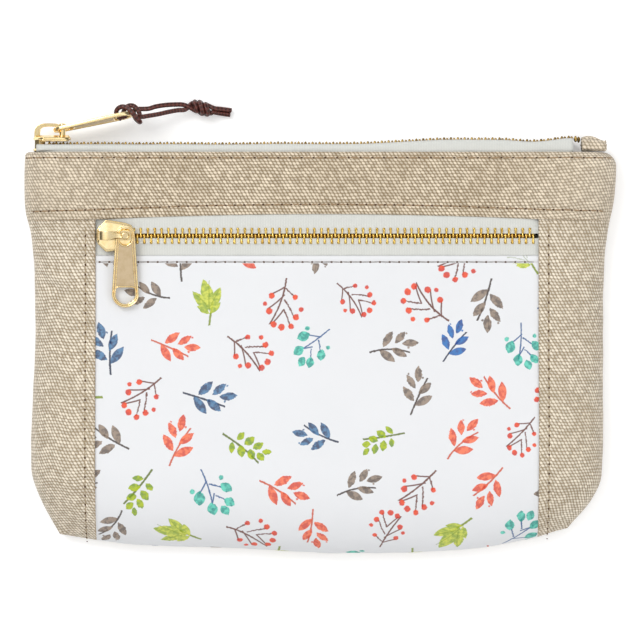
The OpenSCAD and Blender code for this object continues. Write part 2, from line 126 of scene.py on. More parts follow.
def joinInto(bm, part):  # moves part's faces into bm
    spare = meshFrom("spare", part)
    bm.from_mesh(spare)
    bpy.data.meshes.remove(spare)
    bm.verts.ensure_lookup_table()
    bm.faces.ensure_lookup_table()


def copyTo(bm, mesh, places):
    for _ in places:
        bm.from_mesh(mesh)
    bm.verts.ensure_lookup_table()
    bm.faces.ensure_lookup_table()
    size = len(mesh.vertices)
    for k, place in enumerate(places):
        bmesh.ops.transform(bm, verts=bm.verts[k * size:(k + 1) * size], matrix=place)


def bevelSharp(bm, angle, offset, segments, clamp=True):
    sharp = [e for e in bm.edges if len(e.link_faces) == 2 and e.calc_face_angle(0) > math.radians(angle)]
    bmesh.ops.bevel(bm, geom=sharp, offset=offset, offset_type="OFFSET", affect="EDGES", segments=segments,
                    profile=0.5, material=-1, clamp_overlap=clamp)


def addObject(name, bm, material, body, replaced=()):
    for face in bm.faces:
        face.smooth = True
    mesh = meshFrom(name, bm)
    mesh.materials.append(material)
    piece = bpy.data.objects.new(name, mesh)
    bpy.context.collection.objects.link(piece)
    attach(piece, body)
    if replaced:
        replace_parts(piece, *replaced)
    return piece


cornerLeft = (-halfW + 13.5, -topY + 7.2)
cornerRight = (halfW - 18.2, -topY + 9.5)
leftEdge = [(cornerLeft[1], cornerLeft[0]), (-topY + 18.5, -halfW + 7.2), (-topY + 31.5, -halfW + 2.8),
            (0, -halfW + pouch["pullInLeft"]), (30, -halfW + 3.9), (45, -halfW + 2.5), (53, -halfW + 0.8),
            (61, -halfW + 0.3), (topY, -halfW + 0.4)]
rightEdge = [(cornerRight[1], cornerRight[0]), (-topY + 20, halfW - 9.3), (-topY + 29, halfW - 5.5),
             (0, halfW - pouch["pullInRight"]), (30, halfW - 4.6), (45, halfW - 3.3), (56, halfW - 1.1),
             (66, halfW - 0.1), (topY, halfW)]
bottomEdge = [cornerLeft, (-0.65 * halfW, -topY + 3.5), (-0.25 * halfW, -topY + 1.6), (0.15 * halfW, -topY),
              (0.5 * halfW, -topY + 1.6), (0.7 * halfW, -topY + 5.2), cornerRight]


def cornerCut(y, radius):  # how far a rounded top corner pulls in
    drop = y - (topY - radius)
    return 0 if drop <= 0 else radius - math.sqrt(max(radius * radius - drop * drop, 0))


def leftX(y):
    return curveAt(leftEdge, y) + cornerCut(y, 1.6) + 0.25 * noise.noise((0.3, y / 9, 4.2))


def rightX(y):
    return curveAt(rightEdge, y) - cornerCut(y, 5.4) + 0.25 * noise.noise((7.3, y / 9, 1.7))


def bottomY(x):
    x = min(max(x, cornerLeft[0]), cornerRight[0])
    inside = ease((x - cornerLeft[0]) / 12) * ease((cornerRight[0] - x) / 12)
    return curveAt(bottomEdge, x) + 0.3 * noise.noise((x / 10, 5.5, 8.1)) * inside


def seamLevel(y):
    return mix(pouch["seamLevel"], zips["mouthZ"] - 1, ease((y - 20) / (topY - 20)))


def rolledIn(x, y, side, bottom):
    sides = roundOff((x - leftX(y)) / side) * roundOff((rightX(y) - x) / side)
    return sides * roundOff((y - bottomY(x)) / bottom)


def creases(x, y):  # slack in the cloth, none of it at the front chain
    calm = ease((abs(y - zips["frontY"]) - 3.5) / 12) * ease((topY + 2 - y) / 9)
    broad = noise.noise((x / 41, y / 33, 2.6)) + 0.45 * noise.noise((x / 17, y / 21, 7.9))
    fine = 0.16 * noise.noise((x / 6.5, y / 8, 5.3))
    dx, dy = x + 101, y - 25  # from a slanting dent in the left side
    across, up = dx * 0.86 - dy * 0.51, dx * 0.51 + dy * 0.86
    dent = (-1.5 * math.exp(-((up / 2.4) ** 2) - (across / 7) ** 2)
            + 0.7 * math.exp(-(((up - 4) / 2.6) ** 2) - (across / 8) ** 2))
    return pouch["creaseHeight"] * (broad + fine) * calm + dent


def frontAt(x, y, rise):
    low = seamLevel(y) - 0.3
    side = mix(pouch["sideRoll"], 12, ease((y - zips["frontY"]) / (topY - zips["frontY"])))
    level = pouch["frontLevel"] + pouch["bellyRise"] * ease((12 - y) / 45)
    level = mix(frontTop, level, roundOff((topY - y) / pouch["topRoll"])) + rise
    rolled = rolledIn(x, y, side, pouch["bottomRoll"])
    return mix(low, level, rolled) + creases(x, y) * min(1, rolled * 1.2)


def mouthDrop(x):  # the mouth's zip line sags and waves
    return (-1.75 * ease((46 - x) / 34) + 0.35 * noise.noise((x / 19, 3.1, 6.4))
            - 0.75 * math.exp(-(((x - 79) / 8) ** 2)) + 0.5 * math.exp(-(((x - 93) / 5) ** 2)))


def backAt(x, y):
    rolled = rolledIn(x, y, 14, 14)
    return (seamLevel(y) - 1) * (1 - rolled) + 0.35 * max(0, noise.noise((x / 26, y / 22, 9.7))) * rolled


def foldDrop(distance, radius):  # a folded edge turns down within its radius
    return 0 if distance >= radius else radius * (1 - math.sqrt(max(0, 1 - (1 - distance / radius) ** 2)))


def seamDip(distance, along, period=9.0):  # a row of stitches draws the cloth in and puckers it
    groove = -0.3 * math.exp(-((distance / 0.75) ** 2))
    phase = 2 * math.pi * along / period + 2 * noise.noise((along / 23, distance / 30, 3.3))
    pucker = pouch["puckerHeight"] * math.sin(phase)
    return groove + pucker * math.exp(-((distance / 4.2) ** 2))


# Columns run 0 to 1 over the left side panel, 1 to 2 over the middle, 2 to 3 over the right one.
def acrossAt(c, left, right):
    if c <= 1:
        return mix(left, pouch["seamLeft"], c)
    if c >= 2:
        return mix(pouch["seamRight"], right, c - 2)
    return mix(pouch["seamLeft"], pouch["seamRight"], c - 1)


def columnX(c, y):
    return acrossAt(c, leftX(y), rightX(y))


def footX(c):
    return acrossAt(c, cornerLeft[0], cornerRight[0])


def columnOf(x):  # the column over the middle
    return 1 + (x - pouch["seamLeft"]) / (pouch["seamRight"] - pouch["seamLeft"])


def rowOf(y):  # a row above the lower tape's edge
    return 1 + (y - zips["tapeLowY"]) / 100


def spotAt(c, r):  # rows run 0 to 1 up to the lower tape's edge, then 1 for each 100 mm
    y = mix(bottomY(footX(c)), zips["tapeLowY"], min(r, 1)) + max(r - 1, 0) * 100
    return columnX(c, y), y


def bandFoot(c):
    return pouch["bandLow"] - pouch["bandSag"] * (footX(c) / halfW) ** 2


def bandSpot(c, t):  # rows run 0 to 1 over the band
    y = mix(bandFoot(c), topY, t)
    return columnX(c, y), y


def evenly(a, b, count):
    return [mix(a, b, k / count) for k in range(count + 1)]


sideColumns = [1 - math.cos(math.pi / 2 * k / 24) for k in range(25)]
lowRows = [0.29 * (1 - math.cos(math.pi / 2 * k / 22)) for k in range(23)] + evenly(0.3, 1, 58)
foldSteps = [0, 0.06, 0.16, 0.32, 0.52, 0.8, 1.2]


clothThick = {"canvas": 0.65, "printed_cotton": 0.55, "zip_tape": 0.5}


def clothPanel(name, columns, rows, place, material, node, slot, outwards=True):
    bm = bmesh.new()
    bmesh.ops.create_grid(bm, x_segments=len(columns) - 1, y_segments=len(rows) - 1, size=1)
    count = len(columns)
    points = np.array([place(columns[k % count], rows[k // count]) for k in range(len(bm.verts))])
    for vert, point in zip(bm.verts, points):
        vert.co = Vector(point) * mm
    grid = points.reshape(len(rows), count, 3) * mm  # the flat cloth: lengths along the threads
    across = np.zeros(grid.shape[:2])
    across[:, 1:] = np.cumsum(np.linalg.norm(np.diff(grid, axis=1), axis=2), axis=1)
    across -= across[:, count // 2][:, None]
    along = np.zeros(grid.shape[:2])
    along[1:] = np.cumsum(np.linalg.norm(np.diff(grid, axis=0), axis=2), axis=0)
    along -= along[-1][None, :]
    across, along = across.ravel(), along.ravel()
    threads = bm.loops.layers.uv.new("threads")
    for face in bm.faces:
        for loop in face.loops:
            k = loop.vert.index
            loop[threads].uv = (across[k], along[k])
    if not outwards:
        bmesh.ops.reverse_faces(bm, faces=bm.faces)
    piece = addObject(name, bm, material, "pouch", [node])
    wall = piece.modifiers.new("thickness", "SOLIDIFY")
    wall.thickness = clothThick[slot] * mm
    wall.offset = -1
    corners = ((grid[1:, :-1] - grid[:-1, :-1], grid[:-1, 1:] - grid[:-1, :-1]),
               (grid[1:, 1:] - grid[1:, :-1], grid[1:, 1:] - grid[:-1, 1:]))
    cells = sum(np.linalg.norm(np.cross(*pair), axis=2) for pair in corners) / 2
    return piece


def shade(red, green, blue):  # a colour as it shows, 0 to 255
    shown = (red / 255, green / 255, blue / 255)
    return (*[((c + 0.055) / 1.055) ** 2.4 if c > 0.04 else c / 12.92 for c in shown], 1)


def scaled(tone, factor):
    return shade(*[min(255, c * factor) for c in tone])


def lifted(tone, amount):
    return shade(*[min(255, c + amount) for c in tone])


class Wire:
    def __init__(self, finish, socket):
        self.finish, self.socket = finish, socket

    def math(self, operation, *others):
        return self.finish.node("ShaderNodeMath", {"operation": operation}, self, *others)

    def __rsub__(self, other):
        return self.finish.node("ShaderNodeMath", {"operation": "SUBTRACT"}, other, self)

    def between(self, low, high):
        return self.above(low) * (1 - self.above(high))

    def fade(self, low, high):  # 0 below low, 1 above high
        smooth = {"interpolation_type": "SMOOTHSTEP"}
        return self.finish.node("ShaderNodeMapRange", smooth, self, low, high, 0, 1)


for method, operation in {
    "__add__": "ADD", "__radd__": "ADD", "__mul__": "MULTIPLY", "__rmul__": "MULTIPLY", "__sub__": "SUBTRACT",
    "__truediv__": "DIVIDE", "floor": "FLOOR", "fract": "FRACT", "abs": "ABSOLUTE", "sine": "SINE",
    "cosine": "COSINE", "root": "SQRT", "atMost": "MINIMUM", "atLeast": "MAXIMUM", "above": "GREATER_THAN",
}.items():
    setattr(Wire, method, partialmethod(Wire.math, operation))


class Graph:
    def __init__(self, tree):
        self.tree = tree

    def node(self, kind, settings=None, *inputs, out=0, **named):
        made = self.tree.nodes.new(kind)
        for key, value in (settings or {}).items():
            if key == "stops":
                ramp = made.color_ramp
                while len(ramp.elements) < len(value):
                    ramp.elements.new(0.5)
                for element, (position, colour) in zip(ramp.elements, value):
                    element.position, element.color = position, colour
            elif key == "interpolation":
                made.color_ramp.interpolation = value
            else:
                setattr(made, key, value)
        for key, value in list(enumerate(inputs)) + list(named.items()):
            socket = made.inputs[key]
            if isinstance(value, Wire):
                self.tree.links.new(value.socket, socket)
            elif value is not None:
                socket.default_value = value
        return Wire(self, made.outputs[out])

    def blend(self, factor, first, second):
        return self.node("ShaderNodeMix", {"data_type": "RGBA"}, factor, *[None] * 5, first, second, out=2)

    def flat(self, uvMap):
        parts = self.node("ShaderNodeUVMap", {"uv_map": uvMap})
        return [self.node("ShaderNodeSeparateXYZ", None, parts, out=k) for k in (0, 1)]

    def threads(self):  # flat cloth coordinates in millimetres
        return [w * 1000.0 for w in self.flat("threads")]

    def ramp(self, factor, interpolation, stops):
        return self.node("ShaderNodeValToRGB", {"interpolation": interpolation, "stops": stops}, factor)

    def place(self):
        return self.node("ShaderNodeTexCoord", out=3)

    def ray(self, kind):
        return self.node("ShaderNodeLightPath", out={"camera": 0, "glossy": 3, "transmitted": 6}[kind])

    def vector(self, x, y, z=0.0):
        return self.node("ShaderNodeCombineXYZ", None, x, y, z)

    def clouds(self, vector, scale, detail=3.0, roughness=0.5):
        return self.node("ShaderNodeTexNoise", None, Vector=vector, Scale=scale, Detail=detail,
                         Roughness=roughness)

    def chance(self, vector, out=0):
        return self.node("ShaderNodeTexWhiteNoise", {"noise_dimensions": "3D"}, vector, out=out)


class Finish(Graph):
    def __init__(self, name, **constants):
        self.material = bpy.data.materials.new(name)
        self.material.use_nodes = True
        super().__init__(self.material.node_tree)
        self.shader = self.tree.nodes["Principled BSDF"]
        for socket, value in constants.items():
            self.shader.inputs[socket.replace("_", " ")].default_value = value

    def feed(self, socket, wire):
        self.tree.links.new(wire.socket, self.shader.inputs[socket])

    def bump(self, height):
        self.feed("Normal", self.node("ShaderNodeBump", None, Height=height, Distance=1.0, Strength=1.0))


bandLook = {"acrossMm": 1.44, "alongMm": 1.18, "dot": (232, 218, 196), "gap": (140, 122, 95),
            "relief": 0.00013, "paleEnds": 0.14}
sideLook = {"acrossMm": 1.38, "alongMm": 1.2, "dot": (237, 227, 210), "gap": (153, 136, 110),
            "relief": 0.00013, "paleEnds": 0.0}


def makeCanvas(name, look):
    f = Finish(name, Roughness=0.92, Specular_IOR_Level=0.2, Sheen_Weight=0.25, Sheen_Roughness=0.5)
    u, v = f.threads()
    drift = f.clouds(f.vector(u, v), 0.11, 2.0)
    u2 = u + (drift - 0.5) * 1.3
    v2 = v + (f.clouds(f.vector(v, u, 4.0), 0.09, 2.0) - 0.5) * 1.1
    row = (v2 / look["alongMm"]).floor()
    shifted = u2 / look["acrossMm"] + row * 0.5
    column = shifted.floor()
    x = shifted.fract() - 0.5
    y = (v2 / look["alongMm"]).fract() - 0.5
    luck = f.chance(f.vector(column, row))
    x, y = x + (f.chance(f.vector(column, row, 2.2)) - 0.5) * 0.1, y + x * 0.42
    size = 0.86 + luck * 0.28
    far = ((x * x) / 0.25 + (y * y) / 0.2).root() / size
    dot = 1 - far.fade(0.45, 1.22)
    fibre = f.clouds(f.vector(u * 3.0, v * 14.0), 1.0, 2.0)
    patch = f.clouds(f.vector(u, v, 2.0), 0.045, 3.0)
    pale = f.blend(luck, scaled(look["dot"], 0.9), scaled(look["dot"], 1.05))
    dark = f.blend(fibre, scaled(look["gap"], 0.8), scaled(look["gap"], 1.16))
    # The darker gap colour between the pale dots is partly the yarn's own tone and partly painted shade between
    # the threads.
    colour = f.blend(dot * 0.9, dark, pale)
    colour = f.blend(patch.fade(0.35, 0.75) * 0.2, colour, scaled(look["gap"], 1.08))
    ends = u.abs().fade(58, 112) * look["paleEnds"]
    f.feed("Base Color", f.blend(ends, colour, shade(240, 232, 218)))
    f.feed("Roughness", 0.95 - dot * 0.12)
    f.bump(dot * look["relief"] + fibre * 0.00003 + luck * 0.00002)
    return f.material


printLook = {"ground": (229, 230, 232), "cellAcross": 26.0, "cellAlong": 35.0, "wander": 4.0, "size": 1.85,
             "bareHalfLength": 26.0, "bareHalfHeight": 9.0, "bareAt": (0.0, -59.5)}


def shapeGroup(name, sockets, build):  # a small reusable group with number inputs and one mask out
    f = Graph(bpy.data.node_groups.new(name, "ShaderNodeTree"))
    for socket in sockets.split():
        f.tree.interface.new_socket(socket, in_out="INPUT", socket_type="NodeSocketFloat")
    f.tree.interface.new_socket("mask", in_out="OUTPUT", socket_type="NodeSocketFloat")
    given = f.tree.nodes.new("NodeGroupInput")
    mask = build(*[Wire(f, socket) for socket in given.outputs[:len(sockets.split())]])
    f.tree.links.new(mask.socket, f.tree.nodes.new("NodeGroupOutput").inputs[0])
    return f.tree


def drawLeaf(x, y, cx, cy, ca, sa, length, width):
    dx, dy = x - cx, y - cy
    along = (dx * ca + dy * sa) / length
    return 1 - (((dy * ca - dx * sa) / width).abs() + along * along).fade(0.86, 1.0)


def drawBerry(x, y, cx, cy, radius):
    dx, dy = x - cx, y - cy
    return 1 - ((dx * dx + dy * dy).root() - radius).fade(-0.12, 0.08)


def drawStem(x, y, cx, cy, ca, sa, length, width):
    dx, dy = x - cx, y - cy
    along = dx * ca + dy * sa
    aside = (dy * ca - dx * sa + along * along * 0.03).abs()
    return (1 - (aside - width).fade(-0.05, 0.12)) * along.above(0) * (1 - along.above(length))


leafShape = shapeGroup("leafShape", "x y cx cy ca sa length width", drawLeaf)
berryShape = shapeGroup("berryShape", "x y cx cy radius", drawBerry)
stemShape = shapeGroup("stemShape", "x y cx cy ca sa length width", drawStem)


# Stems and leaves: place (x, y), angle, length and half width. Berries: place (x, y) and radius.
stemRows = {
    "twig": [(0, -4.8, 90, 8.2, 0.15)],
    "spray": [(0, -5.0, 90, 8.9, 0.13), (0, -1.9, 52, 4.1, 0.1), (0, -1.0, 130, 4.0, 0.1),
              (0, 1.0, 60, 3.2, 0.1),
              (0, 0.8, 122, 3.4, 0.1), (0, -3.4, 38, 3.0, 0.1), (0, -3.1, 146, 2.4, 0.1)],
    "round": [(0, -4.8, 90, 7.8, 0.11), (0, -2.4, 36, 2.8, 0.1), (0, -1.6, 140, 2.6, 0.1),
              (0, 0.4, 52, 2.6, 0.1), (0, 0.9, 126, 2.4, 0.1)],
    "fan": [(0, -5.0, 88, 4.6, 0.18)],
}
shapeRows = {
    "twig": [(1.75, -1.4, 40, 2.1, 0.92), (-1.6, -0.5, 136, 2.0, 0.86), (1.6, 1.2, 50, 1.9, 0.84),
             (-1.4, 2.1, 128, 1.7, 0.8), (0.1, 3.9, 86, 1.8, 0.84), (1.0, 3.3, 0.24), (-2.0, 3.6, 0.22)],
    "spray": [(2.6, 1.4, 0.62), (-2.5, 2.1, 0.6), (1.6, 3.8, 0.6), (-1.7, 3.9, 0.56), (0.1, 4.2, 0.64),
              (2.4, -1.5, 0.58), (-2.0, -1.6, 0.52), (3.5, 0.1, 0.44), (-3.3, 0.6, 0.46)],
    "round": [(2.9, -0.1, 60, 1.5, 1.15), (-2.5, 0.6, 118, 1.3, 1.0), (1.9, 2.9, 70, 1.4, 1.05),
              (-1.5, 3.3, 112, 1.2, 0.95), (0.1, 4.3, 90, 1.2, 0.9), (3.4, -1.9, 0.5), (-2.6, -1.5, 0.45)],
    "fan": [(0, 1.2, 90, 3.4, 1.35)],
    "bloom": [(1.2, -0.4, 30, 1.2, 0.8), (-1.1, 0.2, 150, 1.2, 0.8), (1.0, 1.5, 40, 1.1, 0.75),
              (-0.9, 2.0, 140, 1.1, 0.72), (0.8, 3.2, 60, 1.0, 0.7), (-0.4, 3.9, 110, 0.9, 0.6),
              (1.4, -2.2, 20, 1.1, 0.6), (-1.2, -1.6, 160, 1.0, 0.6)],
}
fanSides = {"leaves": [(1.5, 0.2, 58, 2.6, 1.0), (1.2, -1.7, 40, 1.6, 0.65)],  # on both sides of the rib
            "veins": [(0.3, -1.2, 60, 3.6, 0.05)], "rib": [(0, -2, 90, 6.0, 0.06)]}
tones = [  # chance of a motif, then its two inks and its stem's
    (0.00, (24, 66, 138), (66, 122, 186), (22, 34, 66)),
    (0.15, (108, 144, 22), (176, 192, 48), (96, 112, 28)),
    (0.27, (96, 82, 72), (158, 142, 128), (64, 50, 44)),
    (0.38, (206, 62, 38), (240, 130, 98), (200, 88, 60)),
    (0.48, (30, 52, 92), (98, 136, 172), (26, 38, 66)),
    (0.56, (200, 44, 26), (232, 92, 62), (104, 52, 38)),
    (0.74, (18, 142, 132), (108, 206, 186), (40, 88, 140)),
    (0.87, (140, 166, 30), (206, 212, 92), (128, 146, 40)),
]


def makePrint(name, look):
    f = Finish(name, Roughness=0.85, Specular_IOR_Level=0.25, Sheen_Weight=0.1)
    u, v = f.threads()
    wash = f.clouds(f.vector(u, v, 7.0), 0.55, 3.0, 0.6)
    deep = wash.fade(0.36, 0.62)
    wobble = f.clouds(f.vector(u, v, 1.0), 1.3, 2.0) - 0.5
    broad = f.clouds(f.vector(u, v, 3.0), 0.03, 2.0)
    ground = f.blend(broad, shade(*look["ground"]), lifted(look["ground"], -4))
    weave = ((u * (math.pi / 0.34)).sine() * (v * (math.pi / 0.3)).sine()).abs()
    colour = f.blend(weave * 0.14, ground, shade(190, 192, 196))
    belowFold = 1 - v.above(-3.3)

    def drawn(rows, across, up, long, total=None):
        for cx, cy, *rest in rows:
            group = berryShape
            if len(rest) > 1:
                turned = math.radians(rest[0])
                group, rest = long, [math.cos(turned), math.sin(turned), *rest[1:]]
            mask = f.node("ShaderNodeGroup", {"node_tree": group}, across, up, cx, cy, *rest)
            total = mask if total is None else total.atLeast(mask)
        return total

    for layer in (0, 1):
        upwards = v / look["cellAlong"] + layer * 0.5
        row = upwards.floor()
        shifted = u / look["cellAcross"] + layer * 0.5
        column = shifted.floor()
        seeds = (3.7 + layer, 9.1 + layer, 5.3 + layer, 6.6 + layer)
        luck, kind, sway, sway2 = (f.chance(f.vector(column, row, seed)) for seed in seeds)
        half = 0.5 - layer * 0.5
        dx = ((column + half) * look["cellAcross"] - look["bareAt"][0]).abs()
        dy = ((row + half) * look["cellAlong"] - look["bareAt"][1]).abs()
        bare = (1 - dx.above(look["bareHalfLength"])) * (1 - dy.above(look["bareHalfHeight"]))
        printed = belowFold * (1 - bare)
        x = (shifted.fract() - 0.5) * look["cellAcross"] + (sway - 0.5) * look["wander"]
        y = (upwards.fract() - 0.5) * look["cellAlong"] + (sway2 - 0.5) * look["wander"]
        turn = luck * 6.2832
        c, s = turn.cosine(), turn.sine()
        grown = look["size"] * (0.9 + sway2 * 0.22)
        px, py = (x * c - y * s) / grown + wobble * 0.34, (x * s + y * c) / grown + wobble * 0.34
        px = px + py * py * 0.035 * (sway - 0.3)
        lean = px + (sway - 0.5) * 0.6
        stem = {name: drawn(rows, px, py, stemShape) for name, rows in stemRows.items()}
        shape = {name: drawn(rows, px, py, leafShape) for name, rows in shapeRows.items()}
        shape["fan"] = drawn(fanSides["leaves"], px.abs(), py, leafShape, shape["fan"])
        fanVeins = drawn(fanSides["veins"], px.abs(), py, stemShape,
                         drawn(fanSides["rib"], px, py, stemShape))
        first, second, stemTone = (f.ramp(kind, "CONSTANT", [(tone[0], shade(*tone[pick])) for tone in tones])
                                   for pick in (1, 2, 3))
        isSpray = kind.between(0.56, 0.74)
        isRound = kind.between(0.74, 0.87)
        isFan = kind.above(0.87)
        isBloom = kind.between(0.15, 0.27)
        isTwig = (1 - kind.above(0.56)) * (1 - isBloom)
        stems = (stem["twig"] * (isTwig + isBloom) + stem["spray"] * isSpray + stem["round"] * isRound
                 + stem["fan"] * isFan)
        shapes = (shape["twig"] * isTwig + shape["spray"] * isSpray + shape["round"] * isRound
                  + shape["fan"] * isFan + shape["bloom"] * isBloom)
        ink = f.blend(deep, first, second)
        colour = f.blend(stems * 0.92 * printed, colour, stemTone)
        colour = f.blend(shapes * (0.76 + wash * 0.35).atMost(0.97) * printed, colour, ink)
        colour = f.blend(fanVeins * isFan * 0.5, colour, shade(112, 134, 30))
        rib = (1 - lean.abs().fade(0.04, 0.14)) * (isTwig * 0.35)
        colour = f.blend(rib * shapes * printed, colour, stemTone)
    # The top 0.85 mm under the fold is painted grey: painted shade where the folded edge turns down.
    colour = f.blend(v.fade(-0.85, -0.1) * 0.55, colour, shade(176, 178, 182))
    # A darker warm-grey band about 2.75 mm under the fold follows the stitch line: painted shade in the stitch
    # groove, warmed towards the thread's brown.
    colour = f.blend((1 - (v + 2.75).abs().fade(0.1, 0.6)) * 0.3, colour, shade(178, 170, 164))
    f.feed("Base Color", colour)
    f.bump(weave * 0.00004)
    return f.material


def makeTape(name, tone):
    f = Finish(name, Roughness=0.8, Specular_IOR_Level=0.25, Sheen_Weight=0.2)
    u, v = f.threads()
    rib = (u * (2 * math.pi / 0.62)).sine() * 0.5 + 0.5
    weft = ((v + u * 0.5) * (2 * math.pi / 0.55)).sine() * 0.5 + 0.5
    mottled = f.clouds(f.vector(u, v), 0.5, 3.0)
    f.feed("Base Color", f.blend((rib * weft) * 0.55 + mottled * 0.25, lifted(tone, -22), lifted(tone, 10)))
    f.bump(rib * weft * 0.00007)
    return f.material


def makeLining(name, tone):
    f = Finish(name, Roughness=0.85, Specular_IOR_Level=0.2)
    grain = f.clouds(f.place(), 900.0, 2.0)
    f.feed("Base Color", f.blend(grain, lifted(tone, -14), shade(*tone)))
    f.bump(grain * 0.00004)
    return f.material


def makeMetal(name, tone, deep, roughness, scratch):
    f = Finish(name, Metallic=1.0)
    spot = f.place()
    haze = f.clouds(spot, 420.0, 4.0, 0.6)
    fine = f.clouds(spot, 2600.0, 2.0)
    f.feed("Base Color", f.blend(haze.fade(0.35, 0.75), shade(*tone), shade(*deep)))
    f.feed("Roughness", roughness + haze * 0.12)
    f.bump(fine * scratch)
    return f.material


def makeThread(name, tone):
    f = Finish(name, Roughness=0.75, Specular_IOR_Level=0.3)
    twist = f.clouds(f.place(), 1500.0, 2.0)
    f.feed("Base Color", f.blend(twist, scaled(tone, 0.75), shade(*tone)))
    f.bump(twist * 0.00006)
    return f.material


def makeWaxed(name, tone):
    f = Finish(name, Coat_Roughness=0.35, Specular_IOR_Level=0.4)
    along, around = f.flat("UVMap")
    across, plaits = around * 2.0, along * 27.0
    first = ((across + plaits) * (2 * math.pi)).sine()
    second = ((across - plaits) * (2 * math.pi)).sine()
    braidReliefAndShade = (first * second) * 0.5 + 0.5
    wax = f.clouds(f.place(), 500.0, 3.0)
    # The plaits' crowns are painted up to 2.2 times the tone and their grooves down to 0.3 times: painted
    # highlight and painted shade. The wax noise varies the cord's own tone.
    f.feed("Base Color", f.blend(braidReliefAndShade * 0.8 + wax * 0.3 - 0.05, scaled(tone, 0.3), scaled(tone, 2.2)))
    f.feed("Roughness", 0.46 - braidReliefAndShade * 0.16)
    f.bump(braidReliefAndShade * 0.00022 + wax * 0.00003)
    return f.material


canvasCloth = makeCanvas("canvasCloth", bandLook)
sideCanvas = makeCanvas("sideCanvas", sideLook)
printedCotton = makePrint("printedCotton", printLook)
zipTape = makeTape("zipTape", (219, 220, 215))
liningCloth = makeLining("liningCloth", (232, 228, 216))
goldMetal = makeMetal("goldMetal", (250, 228, 178), (240, 210, 150), 0.12, 0.0000006)
satinGold = makeMetal("satinGold", (203, 182, 149), (190, 168, 132), 0.34, 0.000002)
teethGold = makeMetal("teethGold", (240, 209, 121), (205, 163, 77), 0.14, 0.000001)
mouthGold = makeMetal("mouthGold", (176, 146, 84), (92, 70, 34), 0.24, 0.000001)
brownThread = makeThread("brownThread", (172, 144, 110))
darkThread = makeThread("darkThread", (84, 62, 52))
paleThread = makeThread("paleThread", (186, 166, 134))
# The dark dots where the needle pierced the cloth are painted shade, a dark finish put where only shade falls.
needleHole = makeThread("needleHole", (92, 64, 42))
waxedCord = makeWaxed("waxedCord", (50, 26, 22))
print("finishes made")


def awayFromSeam(x):  # distance from the nearer side panel's inner edge, towards the middle
    return min(x - pouch["seamLeft"], pouch["seamRight"] - x)


def sidePanelAt(c, r):
    x, y = spotAt(c, r)
    reach = -awayFromSeam(x)
    z = frontAt(x, y, 1.5) - foldDrop(reach, 0.75) + seamDip(reach - 3.8, y) * min(1, reach)
    return x, y, z


def pocketPanelAt(c, r):
    x, y = spotAt(c, r)
    edge = zips["foldY"] - y
    tucked = ease((2.2 - awayFromSeam(x)) / 2.2)
    z = frontAt(x, y, 0.7) - foldDrop(edge, 0.55) + seamDip(edge - 2.5, x, 11) * 0.8 - 0.25 * tucked
    return x, y, z


def bandAt(c, t):
    x, y = bandSpot(c, t)
    low = bandFoot(c)
    over = max(ease((4 - awayFromSeam(x)) / 4), 0)
    rise = mix(0.8, mix(2.3, 1.3, ease((y - zips["tapeHighY"]) / 6)), over)
    z = frontAt(x, y, rise) - foldDrop(y - low, 0.75) - foldDrop(topY - y, 0.7)
    z += seamDip(y - low - 3.7, x, 8.3) + seamDip(topY - y - 2.3, x, 10.5) * 0.8
    return x, y, z


def backPanelAt(c, r):
    x, y = spotAt(c, r)
    under = ease((y - 51.5) / 2)
    return x, y, backAt(x, y) + 0.8 * under


def backBandAt(c, t):
    x, y = bandSpot(c, t)
    low = bandFoot(c)
    return x, y, backAt(x, y) + foldDrop(y - low, 0.7) * 0.9 + foldDrop(topY - y, 0.7)


def tapeAt(side):
    def place(c, t):  # t runs over the tape, from its outer edge to the teeth
        y = zips["frontY"] + side * mix(zips["tapeWidth"] + 3.1, 0.85, t)
        x = columnX(c, y)
        bead = 0.3 * math.exp(-(((abs(y - zips["frontY"]) - 2.6) / 0.6) ** 2))
        return x, y, frontAt(x, y, 0) + bead
    return place


sideWide, bandTall = 27, 24  # about; they space the columns and rows near the edges
grooveSteps = [1.8, 2.6, 3.0, 3.4, 3.8, 4.2, 4.6, 5.0, 5.6]
leftCols = [c for c in sideColumns if c < 1 - 6 / sideWide]
leftCols += [1 - d / sideWide for d in reversed(foldSteps[1:] + grooveSteps)] + [1]
rightCols = [3 - c for c in reversed(leftCols)]
sideRows = lowRows + evenly(1.012, rowOf(zips["tapeHighY"]), 26)
clothPanel("frontSideLeft", leftCols, sideRows, sidePanelAt, sideCanvas, "front_side_panel_left", "canvas")
clothPanel("frontSideRight", rightCols, sideRows, sidePanelAt, sideCanvas, "front_side_panel_right", "canvas")

pocketCols = evenly(0.66, 1, 8)[:-1] + evenly(1, 2, 166) + evenly(2, 2.34, 8)[1:]
foldRow = rowOf(zips["foldY"])
pocketRows = lowRows + evenly(1.012, foldRow - 0.014, 18) + [foldRow - d / 100 for d in reversed(foldSteps)]
clothPanel("frontPocket", pocketCols, pocketRows, pocketPanelAt, printedCotton, "front_pocket_panel",
           "printed_cotton")

wideCols = sideColumns[:-1] + evenly(1, 2, 140) + [3 - c for c in reversed(sideColumns[:-1])]
bandRows = [d / bandTall for d in foldSteps]
bandRows += evenly(2 / bandTall, 1 - 2 / bandTall, 44) + [1 - d for d in reversed(bandRows)]
clothPanel("frontBand", wideCols, bandRows, bandAt, canvasCloth, "front_top_band", "canvas")
backRows = lowRows + evenly(1.012, rowOf(zips["tapeHighY"]), 20)
clothPanel("backPanel", wideCols, backRows, backPanelAt, sideCanvas, "back_panel", "canvas", False)
clothPanel("backBand", wideCols, bandRows, backBandAt, canvasCloth, "back_top_band", "canvas", False)
print("panels made")

